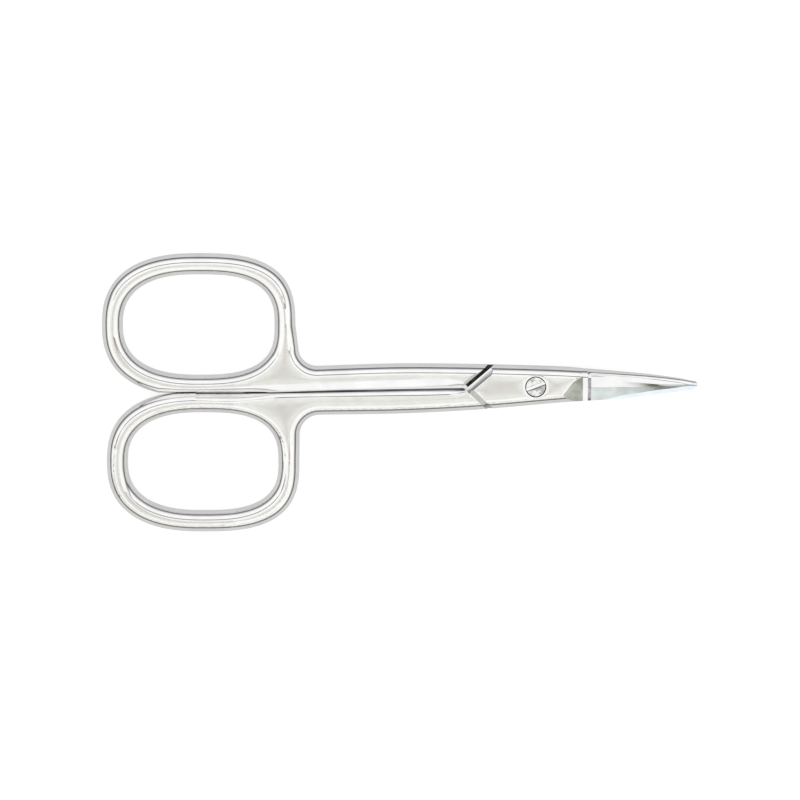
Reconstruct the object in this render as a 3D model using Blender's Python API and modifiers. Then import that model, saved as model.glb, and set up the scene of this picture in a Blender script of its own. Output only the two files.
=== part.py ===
"""Curved nail scissors: two forged steel halves joined by one slotted pivot screw.

Metres, +Z up. The origin is on the pivot axis, in the plane that the scissors lie on, and +X points
to the blade tips. Each half is drawn with its finger ring at -Y and its outer face up. The rear half
is then turned over about the X axis, and both blades are curved upwards by the same turned surface,
so that they stay face to face at every opening angle.
"""

import math
from typing import NamedTuple

import bmesh
import bpy
from mathutils import Matrix, Vector

# Driving sizes of the pair
STOCK_THICKNESS = 0.0029
LAP_GAP = 0.00006
TIP_REACH = 0.0244
LAP_HALF_WIDTH = 0.0032
RIM_WIDTH = 0.00315

# The rounded edge of rings, shanks and plates: its share of half the stock, and its section
EDGE_SHARE = 0.9
RIM_EDGE_SHARE = 0.45
EDGE_SECTION_SHARES = ((0.615, 0.654), (0.385, 0.908))
EDGE_STEPS = 3

# Rings: superellipses, squarer on the side of the shank
HOLE_HALF_LENGTH = 0.01145
HOLE_HALF_WIDTH = 0.00763
FAR_POWER = 2.48
NEAR_POWER = 2.8
RING_POINTS = 30
HOLE_POINTS = 36
NECK_POINTS = 7

# The inner edges of the shanks touch at the heel, and part towards the pivot
HEEL_REACH = 0.0447
HEEL_LEVEL = -0.00107
HEEL_GAP = 0.00007

# The corner of each lapped plate, the step that it closes against and the groove behind it
APEX_REACH = 0.01094
EDGE_SLANT = math.radians(40.6)
STEP_GAP = 0.00062
PLATE_CHAMFER_WIDTH = 0.0009
PLATE_CHAMFER_DEPTH = 0.0007
CHAMFER_SETBACK = 0.00005
STEP_CHAMFER_WIDTH = 0.0006
STEP_CHAMFER_DEPTH = 0.0005
GROOVE_DEPTH = 0.0004
GROOVE_SETBACK = 0.0007
GROOVE_SLANT = math.radians(-44.4)

# Outer edges from the neck of the ring to the tip: a share of the reach on that side of the pivot,
# then a share of the half width of the lap
UPPER_EDGE_SHARES = (
    (-1.0, 0.922),
    (-0.653, 1.037),
    (-0.374, 1.031),
    (-0.166, 0.988),
    (0.057, 0.931),
    (0.242, 0.866),
    (0.523, 0.723),
    (0.709, 0.629),
    (0.893, 0.499),
    (0.965, 0.415),
)
LOWER_EDGE_SHARES = (
    (-1.0, -1.384),
    (-0.653, -1.331),
    (-0.374, -1.206),
    (-0.166, -1.053),
    (0.15, -0.8),
    (0.336, -0.704),
    (0.523, -0.602),
    (0.709, -0.372),
    (0.893, -0.138),
    (0.95, -0.04),
)
# Cutting edges, which leave the outer edges where the blades begin
FRONT_CUTTING_SHARES = (
    (0.15, -0.8),
    (0.336, -0.695),
    (0.43, -0.64),
    (0.533, -0.43),
    (0.631, -0.303),
    (0.746, -0.125),
    (0.848, 0.006),
    (0.95, 0.169),
)
REAR_CUTTING_SHARES = (
    (0.15, 0.9),
    (0.336, 0.775),
    (0.43, 0.69),
    (0.533, 0.57),
    (0.631, 0.5),
    (0.746, 0.4),
    (0.848, 0.33),
    (0.95, 0.27),
)
BLADE_START_SHARE = 0.287
PLATE_END_SHARE = 0.8
SHANK_STATIONS = 12
BLADE_STATIONS = 12

# The blades: rounded noses, the taper to the tip, ground faces and the upward curve
NOSE_RADIUS = 0.0003
NOSE_POINTS = 5
FRONT_NOSE_SHARE = 0.27
REAR_NOSE_SHARE = 0.16
REAR_TIP_SHORT = 0.00015
SPINE_LEAD_SHARES = (0.25, 0.04)
SPINE_ENTRY_SHARE = 0.25
TIP_THICKNESS = 0.00055
CUTTING_EDGE_THICKNESS = 0.00012
RIDGE_SHARES = (
    (0.12, 0.06),
    (0.149, 0.13),
    (0.184, 0.365),
    (0.215, 0.57),
    (0.253, 0.715),
    (0.298, 0.8),
    (0.336, 0.765),
    (0.45, 0.72),
    (0.55, 0.61),
    (0.646, 0.545),
    (0.746, 0.44),
    (0.84, 0.4),
    (0.943, 0.36),
)
SCOOP_START_SHARE = 0.14
SCOOP_END_SHARE = 0.3
SCOOP_FIRST_DEPTH_SHARE = 0.05
TAPER_START_SHARE = 0.265
GRIND_STATIONS = 18
BEND_START = 0.006
BEND_RADIUS = 0.042
BEND_STATIONS = 16

# The pivot screw
HEAD_RADIUS = 0.0015
HEAD_HEIGHT = 0.0007
HEAD_CROWN = 0.00012
HEAD_PROUD = 0.00002
HEAD_CLEARANCE = 0.0001
SEAT_CLEARANCE = 0.00004
SCREW_RADIUS = 0.0009
SCREW_CLEARANCE = 0.00005
SLOT_WIDTH = 0.0005
SLOT_DEPTH = 0.0004
SLOT_SLANT = math.radians(21)
TURNED_STEPS = 40
CROWN_STEPS = 4

# One overrun serves every cut, and one tiny distance every weld
OVERRUN = 0.005
WELD = 0.0000005

TOP = STOCK_THICKNESS
LAP_LEVEL = (STOCK_THICKNESS + LAP_GAP) / 2
EDGE_ROUND = min(EDGE_SHARE * STOCK_THICKNESS / 2, RIM_EDGE_SHARE * RIM_WIDTH)
SEAT_LEVEL = STOCK_THICKNESS + HEAD_PROUD - HEAD_HEIGHT
BLADE_START = BLADE_START_SHARE * TIP_REACH
PLATE_END = BLADE_START + 2 * EDGE_ROUND


class Half(NamedTuple):
    """What differs between the two halves, each seen with its ring at -Y and its outer face up."""

    name: str
    side: int
    hole_length_share: float
    hole_width_share: float
    neck_reach: float
    neck_radius: float
    neck_lean: float
    heel_grind: float
    apex_level: float
    other_apex_level: float
    outer_shares: tuple
    spine_shares: tuple
    cutting_shares: tuple
    nose_share: float
    tip_reach: float

    @property
    def hole_half_length(self):
        """The finger hole along the shank."""
        return self.hole_length_share * HOLE_HALF_LENGTH

    @property
    def hole_half_width(self):
        """The finger hole across the shank."""
        return self.hole_width_share * HOLE_HALF_WIDTH

    @property
    def heel_level(self):
        """The inner edge at the heel."""
        return self.side * HEEL_LEVEL - HEEL_GAP / 2

    @property
    def ring_centre(self):
        """The ring's centre follows from the neck and from the heel, which is ground a little flat."""
        across = self.heel_level + self.heel_grind - self.hole_half_width - RIM_WIDTH
        along = self.neck_reach + self.neck_radius + self.neck_lean + self.hole_half_length + RIM_WIDTH
        return Vector((-along, across))


FRONT_APEX_LEVEL = -0.0005
REAR_APEX_LEVEL = -0.00017
FRONT = Half(
    name="front_half",
    side=1,
    hole_length_share=0.998,
    hole_width_share=0.991,
    neck_reach=0.0327,
    neck_radius=0.00305,
    neck_lean=0.00005,
    heel_grind=0.0002,
    apex_level=FRONT_APEX_LEVEL,
    other_apex_level=REAR_APEX_LEVEL,
    outer_shares=LOWER_EDGE_SHARES,
    spine_shares=UPPER_EDGE_SHARES,
    cutting_shares=FRONT_CUTTING_SHARES,
    nose_share=FRONT_NOSE_SHARE,
    tip_reach=TIP_REACH,
)
REAR = Half(
    name="rear_half",
    side=-1,
    hole_length_share=1.002,
    hole_width_share=1.009,
    neck_reach=0.0331,
    neck_radius=0.0028,
    neck_lean=0.00045,
    heel_grind=0.00052,
    apex_level=REAR_APEX_LEVEL,
    other_apex_level=FRONT_APEX_LEVEL,
    outer_shares=UPPER_EDGE_SHARES,
    spine_shares=LOWER_EDGE_SHARES,
    cutting_shares=REAR_CUTTING_SHARES,
    nose_share=REAR_NOSE_SHARE,
    tip_reach=TIP_REACH - REAR_TIP_SHORT,
)


def smooth_level(stations, along):
    """The height at one place of the smooth curve through the stations, level beyond its ends."""
    if along <= stations[0][0]:
        return stations[0][1]
    if along >= stations[-1][0]:
        return stations[-1][1]
    slopes = []
    for index in range(len(stations)):
        before = stations[max(index - 1, 0)]
        after = stations[min(index + 1, len(stations) - 1)]
        slopes.append((after[1] - before[1]) / (after[0] - before[0]))
    index = max(i for i in range(len(stations) - 1) if stations[i][0] <= along)
    (start, first), (end, last) = stations[index], stations[index + 1]
    span = end - start
    t = (along - start) / span
    return (
        first * (2 * t**3 - 3 * t**2 + 1)
        + slopes[index] * span * (t**3 - 2 * t**2 + t)
        + last * (3 * t**2 - 2 * t**3)
        + slopes[index + 1] * span * (t**3 - t**2)
    )


def edge_level(half, shares, along):
    """How far across an edge lies at one place, in the half's own drawing position."""
    stations = []
    for reach_share, width_share in shares:
        reach = TIP_REACH if reach_share > 0 else half.neck_reach
        stations.append((reach_share * reach, half.side * width_share * LAP_HALF_WIDTH))
    return smooth_level(stations, along)


def spread(start, end, count):
    """Evenly spaced values, both ends included."""
    return [start + (end - start) * index / (count - 1) for index in range(count)]


def superellipse(centre, half_length, half_width, start_degrees, end_degrees, count):
    """Points of a superellipse whose power is higher on its +X side."""
    points = []
    for degrees in spread(start_degrees, end_degrees, count):
        cosine = math.cos(math.radians(degrees))
        sine = math.sin(math.radians(degrees))
        power = 2 / (NEAR_POWER if cosine > 0 else FAR_POWER)
        along = math.copysign(abs(cosine) ** power, cosine) * half_length
        across = math.copysign(abs(sine) ** power, sine) * half_width
        points.append(centre + Vector((along, across)))
    return points


def arc(centre, radius, start_degrees, end_degrees, count):
    """Points of a round arc."""
    return [
        centre + Vector((math.cos(math.radians(a)), math.sin(math.radians(a)))) * radius
        for a in spread(start_degrees, end_degrees, count)
    ]


def handle_outline(half):
    """Ring, shank and plate seen from the outer side, with spare stock inside of the inner edge."""
    ring_half_length = half.hole_half_length + RIM_WIDTH
    ring_half_width = half.hole_half_width + RIM_WIDTH
    points = superellipse(half.ring_centre, ring_half_length, ring_half_width, 90, 360, RING_POINTS)
    neck_level = edge_level(half, half.outer_shares, -half.neck_reach)
    neck_centre = Vector((-half.neck_reach, neck_level - half.neck_radius))
    points += arc(neck_centre, half.neck_radius, 180, 90, NECK_POINTS)
    for along in spread(-half.neck_reach, BLADE_START, SHANK_STATIONS)[1:]:
        points.append(Vector((along, edge_level(half, half.outer_shares, along))))
    points.append(Vector((PLATE_END, points[-1].y * PLATE_END_SHARE)))
    back = []
    for along in spread(BLADE_START, -APEX_REACH, SHANK_STATIONS // 2):
        back.append(Vector((along, edge_level(half, half.spine_shares, along))))
    points.append(Vector((PLATE_END, back[0].y * PLATE_END_SHARE)))
    spare_level = max(half.apex_level, half.heel_level) + EDGE_ROUND + RIM_WIDTH / 2
    back.append(Vector((-APEX_REACH - LAP_HALF_WIDTH, spare_level)))
    back.append(Vector((-HEEL_REACH, spare_level)))
    return points + back


def blade_outline(half):
    """The blade seen from the outer side: cutting edge, nose and spine."""
    nose_start = half.tip_reach - 2 * NOSE_RADIUS
    stations = spread(BLADE_START, nose_start, BLADE_STATIONS)
    nose_centre = Vector((half.tip_reach - NOSE_RADIUS, half.side * half.nose_share * LAP_HALF_WIDTH))
    points = [Vector((along, edge_level(half, half.cutting_shares, along))) for along in stations]
    points += arc(nose_centre, NOSE_RADIUS, -60, 60, NOSE_POINTS)
    for along in reversed(stations):
        points.append(Vector((along, edge_level(half, half.spine_shares, along))))
    return points


def filled_curve(name, outlines, thickness, edge_round=0.0):
    """A flat shape as a filled 2D curve, centred on the XY plane, with the pair's rounded edge if asked."""
    curve = bpy.data.curves.new(name, "CURVE")
    curve.dimensions = "2D"
    curve.fill_mode = "BOTH"
    curve.extrude = thickness / 2 - edge_round
    if edge_round:
        curve.bevel_mode = "PROFILE"
        curve.bevel_depth = edge_round
        curve.offset = -edge_round
        curve.bevel_resolution = EDGE_STEPS
        for out_share, up_share in EDGE_SECTION_SHARES:
            curve.bevel_profile.points.add(out_share, up_share)
        curve.bevel_profile.update()
    for outline in outlines:
        spline = curve.splines.new("POLY")
        spline.points.add(len(outline) - 1)
        for point, place in zip(spline.points, outline):
            point.co = (place.x, place.y, 0, 1)
        spline.use_cyclic_u = True
    return bpy.data.objects.new(name, curve)


def to_mesh_object(source, collection):
    """The evaluated shape of an object as a new mesh object with its caps welded; the source is removed."""
    collection.objects.link(source)
    bpy.context.view_layer.update()
    graph = bpy.context.evaluated_depsgraph_get()
    mesh = bpy.data.meshes.new_from_object(source.evaluated_get(graph))
    work = bmesh.new()
    work.from_mesh(mesh)
    bmesh.ops.remove_doubles(work, verts=work.verts, dist=WELD)
    bmesh.ops.recalc_face_normals(work, faces=work.faces)
    work.to_mesh(mesh)
    work.free()
    name, place = source.name, source.matrix_world.copy()
    bpy.data.objects.remove(source)
    result = bpy.data.objects.new(name, mesh)
    mesh.name = name
    result.matrix_world = place
    collection.objects.link(result)
    return result


def prism(name, outline, bottom, top, cutters):
    """A cutter with a flat outline between two levels."""
    cutter = to_mesh_object(filled_curve(name, [outline], top - bottom), cutters)
    cutter.location.z = (bottom + top) / 2
    return as_cutter(cutter)


def slab(name, foot, normal, along, size, cutters):
    """A cutter that removes what lies on the normal's side of the plane through its foot."""
    normal = normal.normalized()
    along = along.normalized()
    mesh = bpy.data.meshes.new(name)
    work = bmesh.new()
    bmesh.ops.create_cube(work, size=1)
    scale = Matrix.Diagonal((*size, 1))
    turn = Matrix((along, normal.cross(along), normal)).transposed().to_4x4()
    middle = Matrix.Translation(foot + normal * size[2] / 2)
    bmesh.ops.transform(work, matrix=middle @ turn @ scale, verts=work.verts)
    work.to_mesh(mesh)
    work.free()
    cutter = bpy.data.objects.new(name, mesh)
    cutters.objects.link(cutter)
    return as_cutter(cutter)


def rod(name, radius, bottom, top, cutters):
    """A round cutter on the pivot axis."""
    mesh = bpy.data.meshes.new(name)
    work = bmesh.new()
    bmesh.ops.create_cone(
        work,
        cap_ends=True,
        segments=TURNED_STEPS,
        radius1=radius,
        radius2=radius,
        depth=top - bottom,
    )
    work.to_mesh(mesh)
    work.free()
    cutter = bpy.data.objects.new(name, mesh)
    cutter.location.z = (bottom + top) / 2
    cutters.objects.link(cutter)
    return as_cutter(cutter)


def as_cutter(cutter):
    """Keeps a cutter out of the render."""
    cutter.hide_render = True
    cutter.display_type = "WIRE"
    return cutter


def cut(target, cutter, operation="DIFFERENCE"):
    """Takes the cutter out of the target, or joins it to the target."""
    modifier = target.modifiers.new(cutter.name, "BOOLEAN")
    modifier.operation = operation
    modifier.solver = "EXACT"
    modifier.object = cutter


def slanted(slant):
    """The direction of a line at this angle to +X, in the plan."""
    return Vector((math.cos(slant), math.sin(slant), 0))


def inner_edge_cutter(half, cutters):
    """Grinds the inner edge from the heel to the apex, then the slanted edge of the lapped plate."""
    apex = Vector((-APEX_REACH, half.apex_level, 0))
    corner = apex + slanted(EDGE_SLANT) * 3 * LAP_HALF_WIDTH
    far = half.ring_centre.x - half.hole_half_length - RIM_WIDTH - OVERRUN
    outline = [
        Vector((far, half.heel_level, 0)),
        Vector((-HEEL_REACH, half.heel_level, 0)),
        apex,
        corner,
        Vector((far, corner.y, 0)),
    ]
    return prism(f"{half.name}_inner_edge", outline, -OVERRUN, TOP + OVERRUN, cutters)


def lap_cutter(half, step_foot, cutters):
    """Takes away the lower half of the stock from the step to past the tip."""
    along = slanted(-EDGE_SLANT)
    above = step_foot - along * 3 * LAP_HALF_WIDTH
    below = step_foot + along * 3 * LAP_HALF_WIDTH
    far = TIP_REACH + OVERRUN
    outline = [above, below, Vector((far, below.y, 0)), Vector((far, above.y, 0))]
    return prism(f"{half.name}_lap", outline, -OVERRUN, LAP_LEVEL, cutters)


def edge_cutters(half, step_foot, cutters):
    """The chamfers on the slanted edge and on the step, and the groove between shank and plate."""
    length = 4 * LAP_HALF_WIDTH
    size = (length, OVERRUN, OVERRUN)
    up = Vector((0, 0, 1))
    apex = Vector((-APEX_REACH, half.apex_level, 0))
    away = slanted(EDGE_SLANT + math.pi / 2)
    plate_chamfer = slab(
        f"{half.name}_plate_chamfer",
        apex + slanted(EDGE_SLANT) * (length / 2 + CHAMFER_SETBACK) + up * (TOP - PLATE_CHAMFER_DEPTH),
        away * PLATE_CHAMFER_DEPTH + up * PLATE_CHAMFER_WIDTH,
        slanted(EDGE_SLANT),
        size,
        cutters,
    )
    towards = slanted(math.pi / 2 - EDGE_SLANT)
    step_chamfer = slab(
        f"{half.name}_step_chamfer",
        step_foot + up * STEP_CHAMFER_DEPTH,
        towards * STEP_CHAMFER_DEPTH - up * STEP_CHAMFER_WIDTH,
        slanted(-EDGE_SLANT),
        (length, 3 * STEP_CHAMFER_WIDTH, OVERRUN),
        cutters,
    )
    groove_line = slanted(GROOVE_SLANT)
    groove_foot = apex + Vector((GROOVE_SETBACK, 0, TOP - GROOVE_DEPTH))
    groove_side = groove_line.cross(up)
    groove = slab(
        f"{half.name}_groove",
        groove_foot + (up - groove_side).normalized() * OVERRUN / 2,
        up + groove_side,
        groove_line,
        size,
        cutters,
    )
    return plate_chamfer, step_chamfer, groove


def taper_cutter(half, cutters):
    """Thins the blade from where its face begins to the tip."""
    start = Vector((TAPER_START_SHARE * TIP_REACH, 0, TOP))
    end = Vector((TIP_REACH, 0, LAP_LEVEL + TIP_THICKNESS))
    along = end - start
    across = Vector((0, 1, 0))
    size = (along.length + OVERRUN, 4 * LAP_HALF_WIDTH, OVERRUN)
    return slab(f"{half.name}_taper", (start + end) / 2, along.cross(across), along, size, cutters)


def loft(name, sections, cutters):
    """A cutter through closed sections with like counts of points."""
    work = bmesh.new()
    rings = [[work.verts.new(point) for point in section] for section in sections]
    for before, after in zip(rings, rings[1:]):
        for index in range(len(before)):
            other = (index + 1) % len(before)
            work.faces.new((before[index], before[other], after[other], after[index]))
    work.faces.new(rings[0])
    work.faces.new(rings[-1])
    bmesh.ops.recalc_face_normals(work, faces=work.faces)
    bmesh.ops.triangulate(work, faces=work.faces)
    mesh = bpy.data.meshes.new(name)
    work.to_mesh(mesh)
    work.free()
    cutter = bpy.data.objects.new(name, mesh)
    cutters.objects.link(cutter)
    return as_cutter(cutter)


def spine_section(half, along, outward=0):
    """Carries the rounded edge of the plate on along the spine of the blade."""
    spine_level = edge_level(half, half.spine_shares, along) + outward
    shoulder = TOP - EDGE_ROUND
    lid = TOP + OVERRUN
    first_out, first_up = EDGE_SECTION_SHARES[0]
    before = (1 + (1 - first_out) * SPINE_ENTRY_SHARE, -first_up * SPINE_ENTRY_SHARE)
    section = []
    for out_share, up_share in (before, *EDGE_SECTION_SHARES, (0, 1)):
        inside = spine_level - EDGE_ROUND * (1 - out_share)
        section.append(Vector((along, inside, shoulder + EDGE_ROUND * up_share)))
    section.append(Vector((along, section[-1].y, lid)))
    section.append(Vector((along, spine_level + OVERRUN, lid)))
    section.append(Vector((along, spine_level + OVERRUN, section[0].z)))
    return section


def smooth_step(share):
    """Rises smoothly from 0 to 1."""
    share = min(max(share, 0), 1)
    return share * share * (3 - 2 * share)


def grind_section(half, along):
    """The ground face at one station, from outside the cutting edge to past the ridge, and its lid."""
    cutting_level = edge_level(half, half.cutting_shares, along)
    if along < BLADE_START:
        cutting_level = edge_level(half, half.outer_shares, along)
    spine_level = edge_level(half, half.spine_shares, along)
    ridge_share = smooth_level([(share * TIP_REACH, level) for share, level in RIDGE_SHARES], along)
    ridge_level = cutting_level + ridge_share * (spine_level - cutting_level)
    thinned = max(along / TIP_REACH - TAPER_START_SHARE, 0) / (1 - TAPER_START_SHARE)
    ridge_top = TOP - thinned * (TOP - LAP_LEVEL - TIP_THICKNESS)
    scoop = (along / TIP_REACH - SCOOP_START_SHARE) / (SCOOP_END_SHARE - SCOOP_START_SHARE)
    depth = smooth_step(scoop) * (1 - SCOOP_FIRST_DEPTH_SHARE) + SCOOP_FIRST_DEPTH_SHARE
    drop = depth * (ridge_top - LAP_LEVEL - CUTTING_EDGE_THICKNESS)
    rise = drop / (ridge_level - cutting_level)
    lid = TOP + OVERRUN
    outside = cutting_level - OVERRUN / 2
    past = ridge_level + (lid - ridge_top) / max(rise, 1)
    return [
        Vector((along, outside, ridge_top - drop)),
        Vector((along, cutting_level, ridge_top - drop)),
        Vector((along, ridge_level, ridge_top)),
        Vector((along, past, ridge_top + rise * (past - ridge_level))),
        Vector((along, past, lid + OVERRUN)),
        Vector((along, outside, lid + OVERRUN)),
    ]


def blade_cutters(half, cutters):
    """The taper of the blade, the rounded edge along its spine and its ground face."""
    past_tip = TIP_REACH + OVERRUN / 4
    lead, clear = (share * EDGE_ROUND for share in SPINE_LEAD_SHARES)
    spine = [spine_section(half, BLADE_START - lead, clear)]
    spine += [spine_section(half, along) for along in spread(BLADE_START, past_tip, BLADE_STATIONS)]
    scoop_start = SCOOP_START_SHARE * TIP_REACH
    ground = [grind_section(half, along) for along in spread(scoop_start, past_tip, GRIND_STATIONS)]
    return (
        taper_cutter(half, cutters),
        loft(f"{half.name}_spine", spine, cutters),
        loft(f"{half.name}_grind", ground, cutters),
    )


def lift_at(along, across):
    """How far the curve lifts the blades, which depends only on the distance from the pivot axis."""
    out = max(math.hypot(along, across) - BEND_START, 0)
    return BEND_RADIUS - math.sqrt(BEND_RADIUS**2 - out**2)


def curve_blade(mesh):
    """Curves the blade upwards, after slicing it finely enough to follow the curve."""
    work = bmesh.new()
    work.from_mesh(mesh)
    for along in spread(BEND_START, TIP_REACH, BEND_STATIONS)[:-1]:
        geometry = work.verts[:] + work.edges[:] + work.faces[:]
        bmesh.ops.bisect_plane(
            work, geom=geometry, dist=WELD, plane_co=(along, 0, 0), plane_no=(1, 0, 0)
        )
    bmesh.ops.triangulate(work, faces=work.faces)
    for vertex in work.verts:
        if vertex.co.x > 0:
            vertex.co.z += lift_at(vertex.co.x, vertex.co.y)
    work.to_mesh(mesh)
    work.free()


def make_material(name, colour, roughness):
    """A plated metal."""
    material = bpy.data.materials.new(name)
    material.use_nodes = True
    shader = material.node_tree.nodes["Principled BSDF"]
    shader.inputs["Base Color"].default_value = (*colour, 1)
    shader.inputs["Metallic"].default_value = 1
    shader.inputs["Roughness"].default_value = roughness
    material.diffuse_color = (*colour, 1)
    return material


def build_half(half, parts, cutters):
    """One forged half: outline, ground edges, lap, groove, blade, pivot bore and curve."""
    hole = superellipse(
        half.ring_centre, half.hole_half_length, half.hole_half_width, 0, 360, HOLE_POINTS + 1
    )[:-1]
    blank = filled_curve(half.name, [handle_outline(half), hole], STOCK_THICKNESS, EDGE_ROUND)
    blank.location.z = STOCK_THICKNESS / 2
    body = to_mesh_object(blank, cutters)
    blade_name = f"{half.name}_blade"
    cut(body, prism(blade_name, blade_outline(half), 0, TOP + OVERRUN / 2, cutters), "UNION")

    across = slanted(-EDGE_SLANT - math.pi / 2)
    step_foot = Vector((-APEX_REACH, -half.other_apex_level, 0)) + across * STEP_GAP
    cut(body, inner_edge_cutter(half, cutters))
    cut(body, lap_cutter(half, step_foot, cutters))
    for cutter in edge_cutters(half, step_foot, cutters):
        cut(body, cutter)
    for cutter in blade_cutters(half, cutters):
        cut(body, cutter)
    bore_radius = SCREW_RADIUS + SCREW_CLEARANCE
    cut(body, rod(f"{half.name}_bore", bore_radius, -OVERRUN, TOP + OVERRUN, cutters))
    if half is FRONT:
        recess_radius = HEAD_RADIUS + HEAD_CLEARANCE
        recess_floor = SEAT_LEVEL - SEAT_CLEARANCE
        cut(body, rod(f"{half.name}_recess", recess_radius, recess_floor, TOP + OVERRUN, cutters))

    result = to_mesh_object(body, parts)
    result.data.transform(result.matrix_world)
    result.matrix_world = Matrix.Identity(4)
    if half.side < 0:
        turn_over = Matrix.Translation((0, 0, STOCK_THICKNESS)) @ Matrix.Rotation(math.pi, 4, "X")
        result.data.transform(turn_over)
    curve_blade(result.data)
    result.data.materials.append(make_material(f"{half.name}_plated_steel", (0.82, 0.83, 0.81), 0.22))
    result.data.shade_smooth()
    result.data.set_sharp_from_angle(angle=math.radians(30))
    return result


def build_screw(parts, cutters):
    """The pivot screw: a low crowned head with a slot, and a plain shank through both halves."""
    rim_level = STOCK_THICKNESS + HEAD_PROUD - HEAD_CROWN
    profile = []
    for share in spread(0, 1, CROWN_STEPS + 1):
        radius = share * HEAD_RADIUS
        profile.append((radius, rim_level + HEAD_CROWN * (1 - share * share)))
    profile += [
        (HEAD_RADIUS, SEAT_LEVEL),
        (SCREW_RADIUS, SEAT_LEVEL),
        (SCREW_RADIUS, 0),
        (0, 0),
    ]
    mesh = bpy.data.meshes.new("pivot_screw")
    vertices = [(radius, 0, level) for radius, level in profile]
    edges = [(index, index + 1) for index in range(len(profile) - 1)]
    mesh.from_pydata(vertices, edges, [])
    turned = bpy.data.objects.new("pivot_screw", mesh)
    spin = turned.modifiers.new("turned", "SCREW")
    spin.axis = "Z"
    spin.steps = TURNED_STEPS
    spin.render_steps = TURNED_STEPS
    spin.use_merge_vertices = True
    spin.merge_threshold = WELD
    spin.use_normal_calculate = True
    body = to_mesh_object(turned, cutters)

    slot_mesh = bpy.data.meshes.new("pivot_screw_slot")
    work = bmesh.new()
    bmesh.ops.create_cube(work, size=1)
    size = Matrix.Diagonal((3 * HEAD_RADIUS, SLOT_WIDTH, 2 * SLOT_DEPTH, 1))
    place = Matrix.Translation((0, 0, STOCK_THICKNESS + HEAD_PROUD))
    turn = Matrix.Rotation(SLOT_SLANT, 4, "Z")
    bmesh.ops.transform(work, matrix=place @ turn @ size, verts=work.verts)
    work.to_mesh(slot_mesh)
    work.free()
    slot = bpy.data.objects.new("pivot_screw_slot", slot_mesh)
    cutters.objects.link(slot)
    cut(body, as_cutter(slot))

    result = to_mesh_object(body, parts)
    result.data.materials.append(make_material("pivot_screw_steel", (0.8, 0.8, 0.79), 0.25))
    result.data.shade_smooth()
    result.data.set_sharp_from_angle(angle=math.radians(30))
    return result


def main():
    """Clears the scene and builds the three pieces."""
    for thing in list(bpy.data.objects):
        bpy.data.objects.remove(thing)
    parts = bpy.data.collections.new("curved_scissors")
    cutters = bpy.data.collections.new("cutters")
    bpy.context.scene.collection.children.link(parts)
    bpy.context.scene.collection.children.link(cutters)
    build_half(REAR, parts, cutters)
    build_half(FRONT, parts, cutters)
    build_screw(parts, cutters)


main()
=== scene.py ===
"""Curved nail scissors as they look: two forged, plated halves and their slotted pivot screw.

Metres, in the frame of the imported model: the origin is on the pivot axis, +X points to the blade tips
and +Z to the screw's slotted head. Each half is worked with its finger ring at -Y and its outer face
up. The rear half is then turned over, and both blades are curved upwards by one turned surface.
"""

import logging
import math
from dataclasses import dataclass
from enum import Enum

import bmesh
import bpy
from mathutils import Matrix, Vector
from mathutils.kdtree import KDTree


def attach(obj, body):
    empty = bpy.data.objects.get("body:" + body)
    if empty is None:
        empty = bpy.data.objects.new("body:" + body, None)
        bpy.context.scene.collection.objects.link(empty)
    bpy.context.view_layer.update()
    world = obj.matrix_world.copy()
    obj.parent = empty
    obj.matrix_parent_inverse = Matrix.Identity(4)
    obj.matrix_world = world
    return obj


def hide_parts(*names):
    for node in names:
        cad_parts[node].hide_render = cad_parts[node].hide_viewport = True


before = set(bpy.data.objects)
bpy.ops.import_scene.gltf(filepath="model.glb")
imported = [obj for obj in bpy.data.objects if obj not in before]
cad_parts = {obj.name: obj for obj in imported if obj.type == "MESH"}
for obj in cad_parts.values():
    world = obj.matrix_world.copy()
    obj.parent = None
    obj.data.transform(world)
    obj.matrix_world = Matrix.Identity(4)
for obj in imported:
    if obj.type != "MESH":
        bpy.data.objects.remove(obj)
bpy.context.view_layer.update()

LOG = logging.getLogger("curved_scissors")
UP = Vector((0, 0, 1))
SHARP_ANGLE = math.radians(24)
FLAT_WEIGHT = 80

Shares = tuple[tuple[float, float], ...]


class Surface(Enum):
    """The worked surfaces of a half, in the order of its material slots; the scoop, the recess, the wall
    and the dark band carry painted shade.
    """

    POLISHED = 0
    SATIN = 1
    GROUND = 2
    SCOOP = 3
    # The scoop's dark olive colour is painted shade for its dark reflections.
    MATING = 4
    GROOVE = 5
    # Near black painted shade in the undercut and in the screw's counterbore.
    RECESS = 6
    # Slate-dark painted shade on the inner walls between the halves and on one wall of the screw's slot.
    WALL = 7
    # A dark band of painted shade across the ground face behind the scoop.
    STOP = 8


class ScrewSurface(Enum):
    """The surfaces of the screw, in the order of its material slots."""

    TURNED = 0
    SLOT_FLOOR = 1
    # One wall of the slot carries slate-dark painted shade.
    SLOT_WALL = 2


class Face(Enum):
    """The two flat faces of the stock."""

    OUTER = 1
    REST = -1


def spread(start: float, end: float, count: int) -> list[float]:
    """Gives evenly spaced values.

    Args:
        start: the first value.
        end: the last value.
        count: how many values, both ends included.

    Returns:
        The values in order.
    """
    return [start + (end - start) * index / (count - 1) for index in range(count)]


def smooth_step(share: float) -> float:
    """Rises smoothly from 0 to 1.

    Args:
        share: the place on the way, clamped to 0 to 1.

    Returns:
        The height there.
    """
    share = min(max(share, 0), 1)
    return share * share * (3 - 2 * share)


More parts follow.
